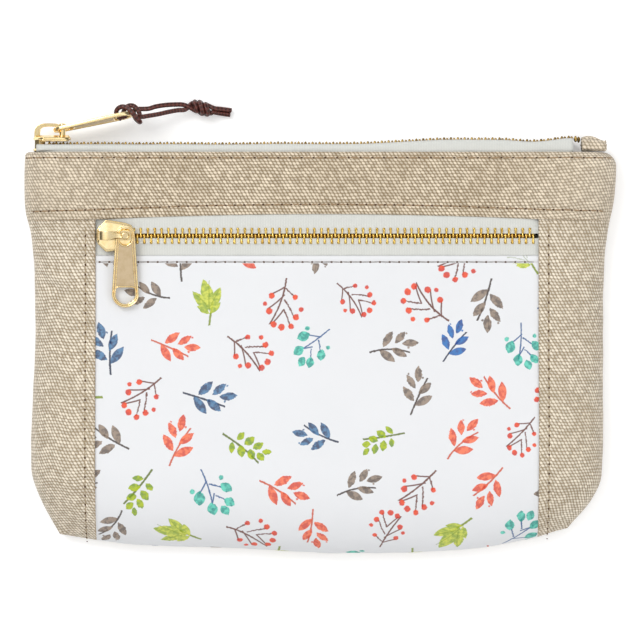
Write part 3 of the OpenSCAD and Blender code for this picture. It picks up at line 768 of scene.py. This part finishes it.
tapeCols = evenly(0.66, 1, 6)[:-1] + evenly(1, 2, 120) + evenly(2, 2.34, 6)[1:]
tapeRows = evenly(0, 0.72, 10) + evenly(0.75, 1, 16)
upperTape = clothPanel("frontTapeUpper", tapeCols, tapeRows, tapeAt(1), zipTape, "front_zip_tape_upper",
                       "zip_tape", False)
lowerTape = clothPanel("frontTapeLower", tapeCols, tapeRows, tapeAt(-1), zipTape, "front_zip_tape_lower",
                       "zip_tape")


def mouthTapeAt(side):
    def place(c, t):
        x = columnX(c, topY)
        level = zips["mouthY"] + mouthDrop(x)
        flat, bend = zips["tapeFlat"], zips["tapeBend"]
        path = [(level, 2.55), (level, 4.4), (level, flat - 0.5), (level - 0.12, flat + 0.1),
                (level - 0.5, flat + 0.52), (level - 0.9, flat + 0.66), (level - 1.3, flat + 0.72),
                (topY + 0.6, flat + bend - 0.1)]
        deep = [topY, 73, 69, 64]
        spots = [Vector((y, zips["mouthZ"] + side * z)) for y, z in path]
        for y in deep:
            xx = columnX(c, y)
            z = frontAt(xx, y, 0) - 0.05 if side > 0 else backAt(xx, y) + 0.95
            spots.append(Vector((y, z)))
        k = min(int(t), len(spots) - 2)
        p = through(spots[max(k - 1, 0)], spots[k], spots[k + 1], spots[min(k + 2, len(spots) - 1)], t - k)
        puff = 0.25 * noise.noise((x / 13, side * 4.0, t / 4)) * ease((t - 2) / 3) * ease((8 - t) / 2)
        bead = 0.26 * math.exp(-(((t - 0.35) / 0.3) ** 2))
        return x, p.x + bead, p.y + puff * side
    return place


mouthCols = [0.12 + 0.88 * k / 14 for k in range(14)] + evenly(1, 2, 120) + evenly(2, 2.54, 10)[1:]
mouthRows = evenly(0, 8, 24) + [8.5, 9, 10, 11]
mouthTapeFront = clothPanel("mouthTapeFront", mouthCols, mouthRows, mouthTapeAt(1), zipTape,
                            "mouth_zip_tape_front", "zip_tape", False)
mouthTapeBack = clothPanel("mouthTapeBack", mouthCols, mouthRows, mouthTapeAt(-1), zipTape,
                           "mouth_zip_tape_back", "zip_tape")
print("tapes made")


def toothMesh():
    bm = bmesh.new()
    # sections along the tooth: place, half width, half thickness
    sections = [(-0.85, 0.2, 0.5), (-0.72, 0.42, 0.74), (-0.25, 0.55, 0.98), (0.4, 0.52, 0.96),
                (0.9, 0.34, 0.78), (1.4, 0.38, 0.9), (2.0, 0.48, 1.1), (2.65, 0.56, 1.18), (2.95, 0.48, 1.0),
                (3.05, 0.3, 0.7)]
    bmesh.ops.create_circle(bm, cap_ends=True, segments=8, radius=1)
    bmesh.ops.rotate(bm, verts=bm.verts, matrix=Matrix.Rotation(math.pi / 8, 3, "Z"))
    bmesh.ops.rotate(bm, verts=bm.verts, matrix=Matrix.Rotation(math.pi / 2, 3, "X"))
    ring = list(bm.verts)
    angles = sorted(math.atan2(v.co.z, v.co.x) for v in ring)
    face = next(iter(bm.faces))
    for n, (y, w, h) in enumerate(sections):
        if n:
            last = face
            grown = bmesh.ops.extrude_face_region(bm, geom=[last], use_keep_orig=True)
            ring = [g for g in grown["geom"] if isinstance(g, bmesh.types.BMVert)]
            face = next(g for g in grown["geom"] if isinstance(g, bmesh.types.BMFace))
            if n > 1:
                bmesh.ops.delete(bm, geom=[last], context="FACES_ONLY")
        ring.sort(key=lambda v: math.atan2(v.co.z, v.co.x))
        for vert, angle in zip(ring, angles):
            bulge = (abs(math.cos(angle)) ** 4 + abs(math.sin(angle)) ** 4) ** -0.25
            vert.co = Vector((w * bulge * math.cos(angle) * 1.02, y, h * bulge * math.sin(angle) * 1.02))
    bmesh.ops.recalc_face_normals(bm, faces=bm.faces)
    return meshFrom("tooth", bm)


tooth = toothMesh()


def teethRow(name, first, count, turn, replaced):
    bm = bmesh.new()
    places = []
    for k in range(count):
        lean = Matrix.Rotation(math.radians(random.uniform(-1.5, 1.5)), 4, "Z")
        places.append(Matrix.Translation((first + k * zips["pitch"], random.uniform(-0.03, 0.03), 0)) @ lean)
    copyTo(bm, tooth, places)
    bmesh.ops.transform(bm, verts=bm.verts, matrix=turn)
    if turn.determinant() < 0:
        bmesh.ops.recalc_face_normals(bm, faces=bm.faces)
    mouth = name.startswith("mouth")
    for vert in bm.verts:
        vert.co.y += mouthDrop(vert.co.x) if mouth else 0
    bmesh.ops.scale(bm, verts=bm.verts, vec=(mm, mm, mm))
    return addObject(name, bm, mouthGold if mouth else teethGold, "pouch", [replaced])


frontPlace = Matrix.Translation((0, zips["frontY"], zips["frontZ"]))
mouthPlace = Matrix.Translation((0, zips["mouthY"], zips["mouthZ"])) @ Matrix.Rotation(math.pi / 2, 4, "X")
otherRow = Matrix.Scale(-1, 4, (0, 1, 0))
sliderAt = {"front": -76.6, "mouth": -100.7}
frontFirst, mouthFirst = sliderAt["front"] - 0.9, sliderAt["mouth"] - 0.9
frontCount = int((81.4 - zips["toothWidth"] - frontFirst) / zips["pitch"]) + 1
mouthCount = int((97.7 - mouthFirst) / zips["pitch"]) + 1
upperTeeth = teethRow("frontTeethUpper", frontFirst, frontCount, frontPlace, "front_zip_teeth_upper")
lowerTeeth = teethRow("frontTeethLower", frontFirst + 1.3, frontCount, frontPlace @ otherRow,
                      "front_zip_teeth_lower")
mouthTeethFront = teethRow("mouthTeethFront", mouthFirst, mouthCount, mouthPlace, "mouth_zip_teeth_front")
mouthTeethBack = teethRow("mouthTeethBack", mouthFirst + 1.3, mouthCount, mouthPlace @ otherRow,
                          "mouth_zip_teeth_back")
print("teeth made")


slider = {"length": 14.0, "width": 12.0, "plateIn": 1.6, "plateOut": 2.6, "barZ": 5.0, "top": 6.4,
          "postX": 3.8, "postRadius": 1.2}


def loopOf(bm, points):
    verts = [bm.verts.new(p) for p in points]
    return [bm.edges.new((verts[k], verts[(k + 1) % len(verts)])) for k in range(len(verts))]


def arc(cx, cy, radius, start, stop, count=10):
    return [(cx + radius * math.cos(math.radians(mix(start, stop, k / count))),
             cy + radius * math.sin(math.radians(mix(start, stop, k / count)))) for k in range(count + 1)]


def bothSides(half):
    return list(half) + [(x, -y) for x, y in reversed(half) if abs(y) > 1e-6]


def slab(bm, loops, low, high, bevel, segments=3):  # a plate with holes: the first loop is its outline
    part = bmesh.new()
    edges = [edge for points in loops for edge in loopOf(part, [(x, y, low) for x, y in points])]
    if len(loops) == 1:
        bmesh.ops.contextual_create(part, geom=edges)
    else:
        bmesh.ops.triangle_fill(part, edges=edges, use_beauty=True, use_dissolve=False, normal=(0, 0, 1))
    grown = bmesh.ops.extrude_face_region(part, geom=list(part.faces))
    top = [g for g in grown["geom"] if isinstance(g, bmesh.types.BMVert)]
    bmesh.ops.translate(part, verts=top, vec=(0, 0, high - low))
    bmesh.ops.recalc_face_normals(part, faces=part.faces)
    if bevel:
        bevelSharp(part, 50, bevel, segments)
    start = len(bm.verts)
    joinInto(bm, part)
    return bm.verts[start:]


def spread(points, spacing=0.55, rounds=3):  # evenly spaced points on a smooth curve
    knots = [Vector(p) for p in points]
    fine = []
    for k in range(len(knots) - 1):
        a, b, c, d = knots[max(k - 1, 0)], knots[k], knots[k + 1], knots[min(k + 2, len(knots) - 1)]
        fine += [through(a, b, c, d, n / 24) for n in range(24)]
    fine.append(knots[-1])
    for _ in range(rounds * 6):
        inner = [(fine[k - 1] + fine[k] * 2 + fine[k + 1]) / 4 for k in range(1, len(fine) - 1)]
        fine = [fine[0], *inner, fine[-1]]
    length = runLengths(fine)
    count = max(2, round(length[-1] / spacing))
    spots, k = [], 0
    for n in range(count + 1):
        want = length[-1] * n / count
        while k < len(fine) - 2 and length[k + 1] < want:
            k += 1
        s = (want - length[k]) / max(1e-9, length[k + 1] - length[k])
        spots.append(fine[k].lerp(fine[k + 1], s))
    return spots, length[-1]


def sliderBody(bm):
    front, rear, side = -slider["length"] / 2, slider["length"] / 2, slider["width"] / 2
    half = [(front, 1.9), (front + 0.6, 3.2), (front + 3.4, side - 0.1), (front + 4.2, side),
            (rear - 3.2, side - 1.1), (rear - 1, side - 2), (rear, side - 3.4)]
    plate = bothSides(half)
    for sign in (1, -1):
        low, high = sorted((sign * slider["plateIn"], sign * slider["plateOut"]))
        slab(bm, [plate], low, high, 0.3)
        crown = bmesh.new()  # a low crown with two sloping sides over each plate
        rim = [(x * 0.975, y * 0.975, sign * (slider["plateOut"] - 0.12)) for x, y in plate]
        ridge = [(x * 0.9, min(max(y, -1.7), 1.7), sign * (slider["plateOut"] + 0.42)) for x, y in plate]
        bmesh.ops.bridge_loops(crown, edges=loopOf(crown, rim) + loopOf(crown, ridge))
        bmesh.ops.holes_fill(crown, edges=crown.edges, sides=40)
        bmesh.ops.recalc_face_normals(crown, faces=crown.faces)
        bevelSharp(crown, 7, 0.14, 3)
        joinInto(bm, crown)
        flange = half[2:6] + [(rear - 1, 3.3), (rear - 3.2, side - 1.9), (front + 4.2, side - 0.8),
                              (front + 3.4, side - 0.8)]
        for across in (1, -1):
            points = [(x, y * across) for x, y in flange]
            low, high = sorted((sign * 1.25, sign * (slider["plateIn"] + 0.1)))
            slab(bm, [points], low, high, 0.12, 2)
    wedge = bothSides([(front + 0.4, 0), (front + 2.2, 1.1), (front + 4.4, 0)])
    slab(bm, [wedge], -slider["plateIn"] - 0.1, slider["plateIn"] + 0.1, 0.1, 2)


def sliderBridge(bm):
    foot = -slider["length"] / 2 + 0.3
    postX, barZ, top = slider["postX"], slider["barZ"], slider["top"]
    leg = foot + 2.1
    over = [(foot + 0.05, 2.3), (foot, 3.3), (foot + 0.35, 4.5), (foot + 1.15, 5.5), (foot + 2.5, 6.15),
            (foot + 4.2, top + 0.05), (0.2, top + 0.05), (1.7, 6.3), (2.7, 5.9), (postX - 0.5, 5.4)]
    under = [(postX - 0.6, barZ), (1.6, barZ + 0.1), (-0.6, barZ + 0.2), (leg + 1.6, barZ + 0.05),
             (leg + 0.6, 4.5), (leg + 0.1, 3.5), (leg, 2.3)]
    profile = [(p.x, p.y) for half in (over, under) for p in spread([(x, z, 0) for x, z in half], 0.3, 0)[0]]
    verts = slab(bm, [profile], -1.7, 1.7, 0.5, 5)
    bmesh.ops.transform(bm, verts=verts, matrix=Matrix.Rotation(math.pi / 2, 4, "X"))
    for vert in verts:  # the bar narrows towards the post
        vert.co.y *= mix(1.0, 0.5, ease((vert.co.x + 2.6) / 3.6))
    for radius, low, high, bevel, segments in ((slider["postRadius"], 2.4, 5.1, 0, 0),
                                               (1.4, 4.9, top, 0.5, 5),
                                               (1.75, 2.5, 2.95, 0.2, 3)):
        slab(bm, [arc(postX, 0, radius, 0, 351, 39)], low, high, bevel, segments)


def sliderPieces(name, at, turn):
    place = Matrix.Translation(at) @ turn
    for suffix, shape in (("Body", sliderBody), ("Bridge", sliderBridge)):
        bm = bmesh.new()
        shape(bm)
        for vert in bm.verts:  # the mouth's slider reaches down to the sagging chain
            vert.co.z -= 1.5 * ease((4.2 - vert.co.z) / 1.8) if name == "mouth" else 0
        bmesh.ops.transform(bm, verts=bm.verts, matrix=Matrix.Scale(mm, 4) @ place)
        body = name + "_slider"
        piece = addObject(name + "Slider" + suffix, bm, goldMetal, body, [body + "_" + suffix.lower()])
        piece.modifiers.new("evenShade", "WEIGHTED_NORMAL").keep_sharp = True
        sharpenShade(piece)


def sharpenShade(piece, angle=38):
    mesh = piece.data
    bm = bmesh.new()
    bm.from_mesh(mesh)
    for edge in bm.edges:
        edge.smooth = len(edge.link_faces) != 2 or edge.calc_face_angle(0) < math.radians(angle)
    bm.to_mesh(mesh)
    bm.free()


upright = Matrix.Rotation(-math.pi / 2, 4, "X")
sliderPieces("front", (sliderAt["front"], zips["frontY"], zips["frontZ"]), Matrix())
sliderPieces("mouth", (sliderAt["mouth"], zips["mouthY"], zips["mouthZ"]), upright)

pull = {"eyeHalf": 3.6, "tailHalf": 5.05, "tailX": 30.2, "thick": 1.5, "windowStart": 22.7,
        "windowHalf": 3.75, "rim": 0.72}


tailAt = pull["tailX"] - pull["tailHalf"]


def pullOutline(inset):
    eye, tail = pull["eyeHalf"] - inset, pull["tailHalf"] - inset
    return bothSides(arc(2.8, 0, eye, 180, 96, 12) + arc(tailAt, 0, tail, 90, 0, 14))


def eyeHole(grow):
    half = 2.3 + grow
    return bothSides(arc(2.2, 0.9, 1.4 + grow, 180, 90, 7) + arc(4.6, 0, half, 90, 0, 9))


def windowHole(grow):
    half = pull["windowHalf"] + grow
    start = pull["windowStart"]
    corner = [(start - grow, 2.6), (start - grow + 0.15, 3.1), (start + 0.6, half - 0.2)]
    return bothSides(corner + arc(tailAt, 0, half, 90, 0, 12))


def pullTab(name, place, node):
    bm = bmesh.new()
    half = pull["thick"] / 2
    slab(bm, [pullOutline(0.3), eyeHole(0.25), windowHole(0.25)], -half + 0.32, half - 0.32, 0)
    rims = bmesh.new()
    for loops, sunk, bevel, segments in (
        ([pullOutline(0), pullOutline(pull["rim"])], 0, 0.33, 4),
        ([pullOutline(1.0), pullOutline(1.44)], 0.1, 0.2, 3),
        ([eyeHole(0.6), eyeHole(0)], 0, 0.28, 4),
        ([windowHole(0.6), windowHole(0)], 0.02, 0.26, 4),
    ):
        slab(rims, loops, -half + sunk, half - sunk, bevel, segments)
    plain = len(bm.faces)
    joinInto(bm, rims)
    for face in bm.faces[plain:]:
        face.material_index = 1
    bar = bmesh.ops.create_cone(bm, cap_ends=True, segments=24, radius1=0.8, radius2=0.8, depth=2.6,
                                matrix=Matrix.Rotation(math.pi / 2, 4, "X"))
    for face in {f for v in bar["verts"] for f in v.link_faces}:
        face.material_index = 1
    bmesh.ops.transform(bm, verts=bm.verts, matrix=Matrix.Scale(mm, 4) @ place)
    piece = addObject(name, bm, satinGold, node, [node])
    piece.data.materials.append(goldMetal)
    sharpenShade(piece)


droop = Matrix.Rotation(math.radians(2.5), 4, "Y")
hangDown = Matrix.Rotation(-math.pi / 2, 4, "Z")
frontPin = Vector((sliderAt["front"] + slider["postX"], zips["frontY"], zips["frontZ"] + 3.85))
frontPlaced = Matrix.Translation(frontPin) @ hangDown @ droop @ Matrix.Translation((-3.3, 0, 0))
pullTab("frontPull", frontPlaced, "front_pull")
mouthPin = Vector((sliderAt["mouth"] + 1.25, zips["mouthY"] + 3.85, zips["mouthZ"]))
mouthLean = Matrix.Rotation(math.radians(12), 4, "Z")
roll = Matrix.Rotation(math.radians(-7), 4, "X")
pullTab("mouthPull", Matrix.Translation(mouthPin) @ mouthLean @ roll @ upright, "mouth_pull")
print("sliders and pulls made")


cord = {"diameter": 1.8, "wrapRadius": 2.25, "wraps": 1.5}


def onPull(u, v, w):  # along the pull, above it, across it
    return mouthLean.to_3x3() @ Vector((u - 1.2, v - 0.2, w))


def knotWraps(start, stop, phase):
    turns = cord["wraps"]
    axis = (stop - start).normalized()
    side = axis.cross(Vector((0, 0, 1))).normalized()
    up = side.cross(axis)
    spots = []
    count = int(14 * turns)
    for n in range(count + 1):
        t = n / count
        angle = math.radians(phase) + 2 * math.pi * turns * t
        radius = cord["wrapRadius"] * math.sin(math.pi * mix(0.16, 0.84, t)) ** 0.6
        middle = start.lerp(stop, mix(0.1, 0.9, t)) + axis * (0.75 * radius * math.cos(angle))
        spots.append(middle + radius * (math.cos(angle) * side + math.sin(angle) * up))
    return spots


def cordPiece(name, points):
    spots, length = spread(points)
    curve = bpy.data.curves.new(name, "CURVE")
    curve.dimensions = "3D"
    curve.bevel_depth = cord["diameter"] / 2 * mm
    curve.bevel_resolution = 4
    curve.use_fill_caps = True
    line = curve.splines.new("POLY")
    line.points.add(len(spots) - 1)
    for spot, place in zip(line.points, spots):
        spot.co = (*((mouthPin + place) * mm), 1)
    carrier = bpy.data.objects.new(name + "Line", curve)
    bpy.context.collection.objects.link(carrier)
    bpy.context.view_layer.update()
    mesh = bpy.data.meshes.new_from_object(carrier.evaluated_get(bpy.context.evaluated_depsgraph_get()))
    bpy.data.objects.remove(carrier)
    bm = bmesh.new()
    bm.from_mesh(mesh)
    bmesh.ops.remove_doubles(bm, verts=bm.verts, dist=0.00001)
    bmesh.ops.recalc_face_normals(bm, faces=bm.faces)
    bpy.data.meshes.remove(mesh)
    piece = addObject(name, bm, waxedCord, "mouth_pull", ())
    path = [[c * mm for c in mouthPin + s] for s in spots]
    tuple(path[0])
    length * mm
    print(name, "length", round(length, 1), "mm, triangles", len(piece.data.polygons) * 2)
    return piece


knot = (Vector((51.2, 8.9, -4.3)), Vector((58.4, 8.2, -4.9)))
strands = {  # the hitch is measured along, above and across the pull; the rest from the pull's pin
    "cordUpper": {
        "hitch": [(26.4, -0.9, 0.5), (25.3, 0.6, 0.3), (24.9, 2.0, 0.5), (25.9, 3.3, 1.1), (27.9, 3.6, 2.1),
                  (29.8, 2.3, 3.0), (31.3, -0.2, 3.3), (32.5, -2.5, 2.6), (33.0, -3.4, 1.0), (32.4, -3.0, -0.9),
                  (31.4, -1.3, -2.3), (31.2, 0.6, -2.6), (31.9, 1.7, -1.5), (33.2, 1.6, -0.2)],
        "strand": [(34.9, 8.1, 0.4), (37.5, 8.9, 0.1), (41, 9.5, -0.9), (45, 9.8, -2.4), (48.6, 9.6, -3.6)],
        "tail": [(59.6, 8.5, -5.0), (61.6, 8.3, -5.6), (64, 8.0, -6.3), (66.0, 7.8, -6.8)],
        "phase": 20, "nodes": ["cord_hitch", "cord_end_knot"],
    },
    "cordLower": {
        "hitch": [(27.6, -0.9, -0.9), (27.3, 0.8, -0.9), (28.1, 2.4, -0.6), (29.8, 3.5, 0.2),
                  (31.7, 3.1, 1.1),
                  (33.0, 1.5, 1.7), (33.4, -0.2, 1.3), (33.6, -1.5, 0.7)],
        "strand": [(35.2, 5.5, 0.0), (38.5, 6.1, -1.2), (42.3, 7.0, -2.7), (45.8, 7.7, -3.8),
                   (48.8, 8.0, -4.4)],
        "tail": [(59.4, 7.0, -5.4), (61.2, 6.7, -6.2), (63.4, 6.4, -6.8), (65.6, 6.1, -7.0)],
        "phase": 200, "nodes": ["cord_strands", "cord_tails"],
    },
}
for name, strand in strands.items():
    points = [onPull(*p) for p in strand["hitch"]] + [Vector(p) for p in strand["strand"]]
    points += knotWraps(*knot, strand["phase"]) + [Vector(p) for p in strand["tail"]]
    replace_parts(cordPiece(name, points), *strand["nodes"])
print("cord made")


tab = {"left": 98.3, "right": 107.5, "low": 75.9, "high": 81.6, "half": 5.5}
bm = bmesh.new()
bmesh.ops.create_cube(bm, size=1)
bmesh.ops.subdivide_edges(bm, edges=bm.edges, cuts=10, use_grid_fill=True)
for vert in bm.verts:
    x, y, z = vert.co * 2
    px = mix(tab["left"], tab["right"], (x + 1) / 2)
    rise = 1 - 0.34 * ease((x + 0.35) / 1.35)  # the top slopes down to the right
    corner = 1 - 0.22 * abs(z) ** 5 - 0.12 * max(0, -x) ** 6
    py = mix(tab["low"], tab["high"], (y + 1) / 2 * rise * corner)
    pinch = 1 - 0.16 * max(0, y) ** 2 + 0.02 * math.sin(5 * x)
    px += 0.25 * noise.noise((y * 1.4, z * 1.7, 2.2))
    vert.co = Vector((px, py, zips["mouthZ"] + z * tab["half"] * pinch)) * mm
bevelSharp(bm, 50, 0.45 * mm, 3, False)
cloth = bm.loops.layers.uv.new("threads")
for face in bm.faces:
    for loop in face.loops:
        co = loop.vert.co
        steep = abs(face.normal.x) > 0.7
        loop[cloth].uv = (co.z, co.y) if steep else (co.x, co.z if abs(face.normal.y) > 0.7 else co.y)
addObject("endTab", bm, canvasCloth, "pouch", ["zip_end_tab"])


# The last entry sizes the dark dot at each needle point, which is painted shade.
stitch = {"thick": 0.27, "share": 0.8, "sink": 0.08, "holeShade": (0.5, 0.34, 0.15)}


bm = bmesh.new()
bmesh.ops.create_uvsphere(bm, u_segments=8, v_segments=6, radius=1)
oneStitch = meshFrom("stitch", bm)


# holes turns on the dark dots at the needle points, which are painted shade.
def stitchRow(name, line, start, stop, pitch, material, up=1, thick=stitch["thick"], share=stitch["share"],
              holes=True):
    bm = bmesh.new()
    spots = [Vector(line(mix(start, stop, n / 400))) for n in range(401)]
    length = runLengths(spots)
    count = max(1, round(length[-1] / pitch))

    def at(distance):
        k = min(max(int(np.searchsorted(length, distance)) - 1, 0), len(spots) - 2)
        s = (distance - length[k]) / max(1e-9, length[k + 1] - length[k])
        return spots[k].lerp(spots[k + 1], s), (spots[k + 1] - spots[k]).normalized()

    places = []
    for n in range(count):
        middle, along = at((n + 0.5) * length[-1] / count)
        size = length[-1] / count * share / 2
        aside = Vector((0, 0, up)).cross(along).normalized()
        normal = along.cross(aside)
        tilt = random.uniform(-0.05, 0.05)
        frameOf = Matrix((along + aside * tilt, aside, normal)).transposed().to_4x4()
        middle += normal * (thick * 0.5 - stitch["sink"])
        bar = Matrix.Diagonal((size, thick, thick * 0.8, 1))
        places.append((Matrix.Translation(middle) @ frameOf @ bar, 0))
        # At each needle point a flat dark blob stands for the shade where the thread dives in: painted shade.
        if holes:
            holeShade = at(n * length[-1] / count)[0] + normal * 0.08
            places.append((Matrix.Translation(holeShade) @ frameOf @ Matrix.Diagonal((*stitch["holeShade"], 1)), 1))
    copyTo(bm, oneStitch, [place for place, _ in places])
    size = len(oneStitch.polygons)
    for k, (_, index) in enumerate(places):
        for face in bm.faces[k * size:(k + 1) * size]:
            face.material_index = index
    bmesh.ops.scale(bm, verts=bm.verts, vec=(mm, mm, mm))
    piece = addObject(name, bm, material, "pouch", ())
    piece.data.materials.append(needleHole)


def bandLine(place, offset, fromTop):
    def line(x):
        c = columnOf(x)
        if c < 1:
            c = (x + halfW) / (pouch["seamLeft"] + halfW)
        elif c > 2:
            c = 2 + (x - pouch["seamRight"]) / (halfW - pouch["seamRight"])
        low = bandFoot(c)
        y = topY - offset if fromTop else low + offset
        return place(c, (y - low) / (topY - low))
    return line


def panelLine(c, offset):  # beside a side panel's inner edge
    def line(y):
        seam = pouch["seamLeft"] if c == 1 else pouch["seamRight"]
        x = seam - offset if c == 1 else seam + offset
        edge = leftX(y) if c == 1 else rightX(y)
        column = (x - edge) / (seam - edge) if c == 1 else 2 + (x - seam) / (edge - seam)
        foot = bottomY(footX(column))
        r = (y - foot) / (zips["tapeLowY"] - foot) if y < zips["tapeLowY"] else rowOf(y)
        return sidePanelAt(column, r)
    return line


def pocketLine(x):
    return pocketPanelAt(columnOf(x), rowOf(zips["foldY"] - 2.5))


fine = {"thick": 0.16, "holes": False}
for name, line, start, stop, pitch, thread, look in (
    ("bandTopStitch", bandLine(bandAt, 2.3, True), -110.5, 110.5, 4.4, brownThread, {}),
    ("bandLowStitch", bandLine(bandAt, 3.7, False), -108, 108, 3.5, brownThread, {}),
    ("leftPanelStitch", panelLine(1, 3.8), -71, 47.5, 3.6, paleThread, {"thick": 0.2}),
    ("rightPanelStitch", panelLine(2, 3.8), -70, 47.5, 3.6, paleThread, {"thick": 0.2}),
    ("pocketStitch", pocketLine, -82.5, 80.3, 3.6, darkThread, {"thick": 0.15, "share": 0.98}),
    ("leftEdgeStitch", panelLine(1, 0.25), -70, 50, 1.15, brownThread, {"share": 0.5, **fine}),
    ("rightEdgeStitch", panelLine(2, 0.25), -68, 50, 1.15, brownThread, {"share": 0.5, **fine}),
    ("bandEdgeLeft", bandLine(bandAt, 0.3, False), -108.5, -86, 1.2, brownThread, {"share": 0.6, **fine}),
    ("bandEdgeRight", bandLine(bandAt, 0.3, False), 84, 107.5, 1.2, brownThread, {"share": 0.6, **fine}),
    ("backTopStitch", bandLine(backBandAt, 2.3, True), -109.5, 109.5, 4.4, brownThread, {"up": -1}),
    ("backLowStitch", bandLine(backBandAt, 3.7, False), -107, 107, 3.5, brownThread, {"up": -1}),
):
    stitchRow(name, line, start, stop, pitch, thread, **look)
print("stitches made")


parting = {  # which way each half moves, how far, and where a tape is held
    "front": {"aside": Vector((0, 1, 0)), "down": Vector((0, 0, 0)), "shift": 2.5, "tapeHeld": 12.6,
              "toothHeld": 30.0},
    "mouth": {"aside": Vector((0, 0, 0.83)), "down": Vector((0, -0.56, 0)), "shift": 2.55, "tapeHeld": 7.5,
              "toothHeld": 30.0},
}


def part(pieces, zipName, middle):
    way = parting[zipName]
    for piece, away, held in zip(pieces, (1, 1, -1, -1), ("tapeHeld", "toothHeld") * 2):
        axis = (way["aside"] * away + way["down"]).normalized()
        anchor = (Vector(middle) + axis * way[held]) * mm
        zipName + "_slider_travel"
        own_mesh(piece)


part((upperTape, upperTeeth, lowerTape, lowerTeeth), "front", (0, zips["frontY"], zips["frontZ"]))
part((mouthTapeFront, mouthTeethFront, mouthTapeBack, mouthTeethBack), "mouth",
     (0, zips["mouthY"], zips["mouthZ"]))


for node in ("pocket_wall", "lining_front", "lining_back"):
    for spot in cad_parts[node].material_slots:  # the linings keep their own shape
        spot.material = liningCloth


room = {
    "floorWhite": 246, "floorGlow": 0.22, "floorDrop": 0.0004, "keyWatts": 9.0, "fillWatts": 3.6,
    "softSky": [(0, 0.3), (0.4, 0.6), (0.75, 0.95)],  # height, brightness
    "mirroredSky": [(0, 0.2), (0.35, 0.14), (0.62, 0.2), (0.78, 1.05), (0.93, 1.25), (0.965, 1.1),
                    (0.99, 0.76), (1, 0.7)],
}
bm = bmesh.new()
bmesh.ops.create_grid(bm, x_segments=1, y_segments=1, size=1.6)
bmesh.ops.translate(bm, verts=bm.verts, vec=(0, 0, -room["floorDrop"]))
floor = bpy.data.objects.new("floor", meshFrom("floor", bm))
bpy.context.collection.objects.link(floor)
paper = Finish("paper", Roughness=0.9, Specular_IOR_Level=0.1)
seen = paper.ray("camera").atLeast(paper.ray("glossy")).atLeast(paper.ray("transmitted"))
paper.shader.inputs["Base Color"].default_value = shade(*[room["floorWhite"]] * 3)
glow = paper.node("ShaderNodeEmission", None, (1, 1, 1, 1), seen * room["floorGlow"])
both = paper.tree.nodes.new("ShaderNodeAddShader")
paper.tree.links.new(paper.shader.outputs[0], both.inputs[0])
paper.tree.links.new(glow.socket, both.inputs[1])
paper.tree.links.new(both.outputs[0], paper.tree.nodes["Material Output"].inputs[0])
floor.data.materials.append(paper.material)


def softLamp(name, at, size, energy):  # aimed at the middle
    data = bpy.data.lights.new(name, "AREA")
    data.shape = "RECTANGLE"
    data.size, data.size_y = size
    data.energy = energy
    lamp = bpy.data.objects.new(name, data)
    lamp.location = at
    lamp.rotation_euler = (-Vector(at)).to_track_quat("-Z", "Y").to_euler()
    bpy.context.collection.objects.link(lamp)


softLamp("keyLamp", (-0.7, 0.75, 1.1), (0.7, 0.7), room["keyWatts"])
softLamp("fillLamp", (0.9, -0.5, 0.9), (0.8, 0.6), room["fillWatts"])

world = bpy.data.worlds.new("sky")
bpy.context.scene.world = world
world.use_nodes = True
sky = Graph(world.node_tree)
background = sky.tree.nodes["Background"]
background.inputs[0].default_value = (1, 1, 1, 1)
height = sky.node("ShaderNodeSeparateXYZ", None, sky.node("ShaderNodeTexCoord"), out=2)
glow = {}
for ray in ("softSky", "mirroredSky"):  # brightness against height
    glow[ray] = sky.ramp(height, "EASE", [(at, (level, level, level, 1)) for at, level in room[ray]])
lit = sky.node("ShaderNodeMix", None, sky.ray("glossy"), None, glow["softSky"], glow["mirroredSky"])
lit = sky.node("ShaderNodeMix", None, sky.ray("camera"), None, lit, 1.0)
sky.tree.links.new(lit.socket, background.inputs[1])
bpy.context.scene.view_settings.view_transform = "Standard"
print("room made")
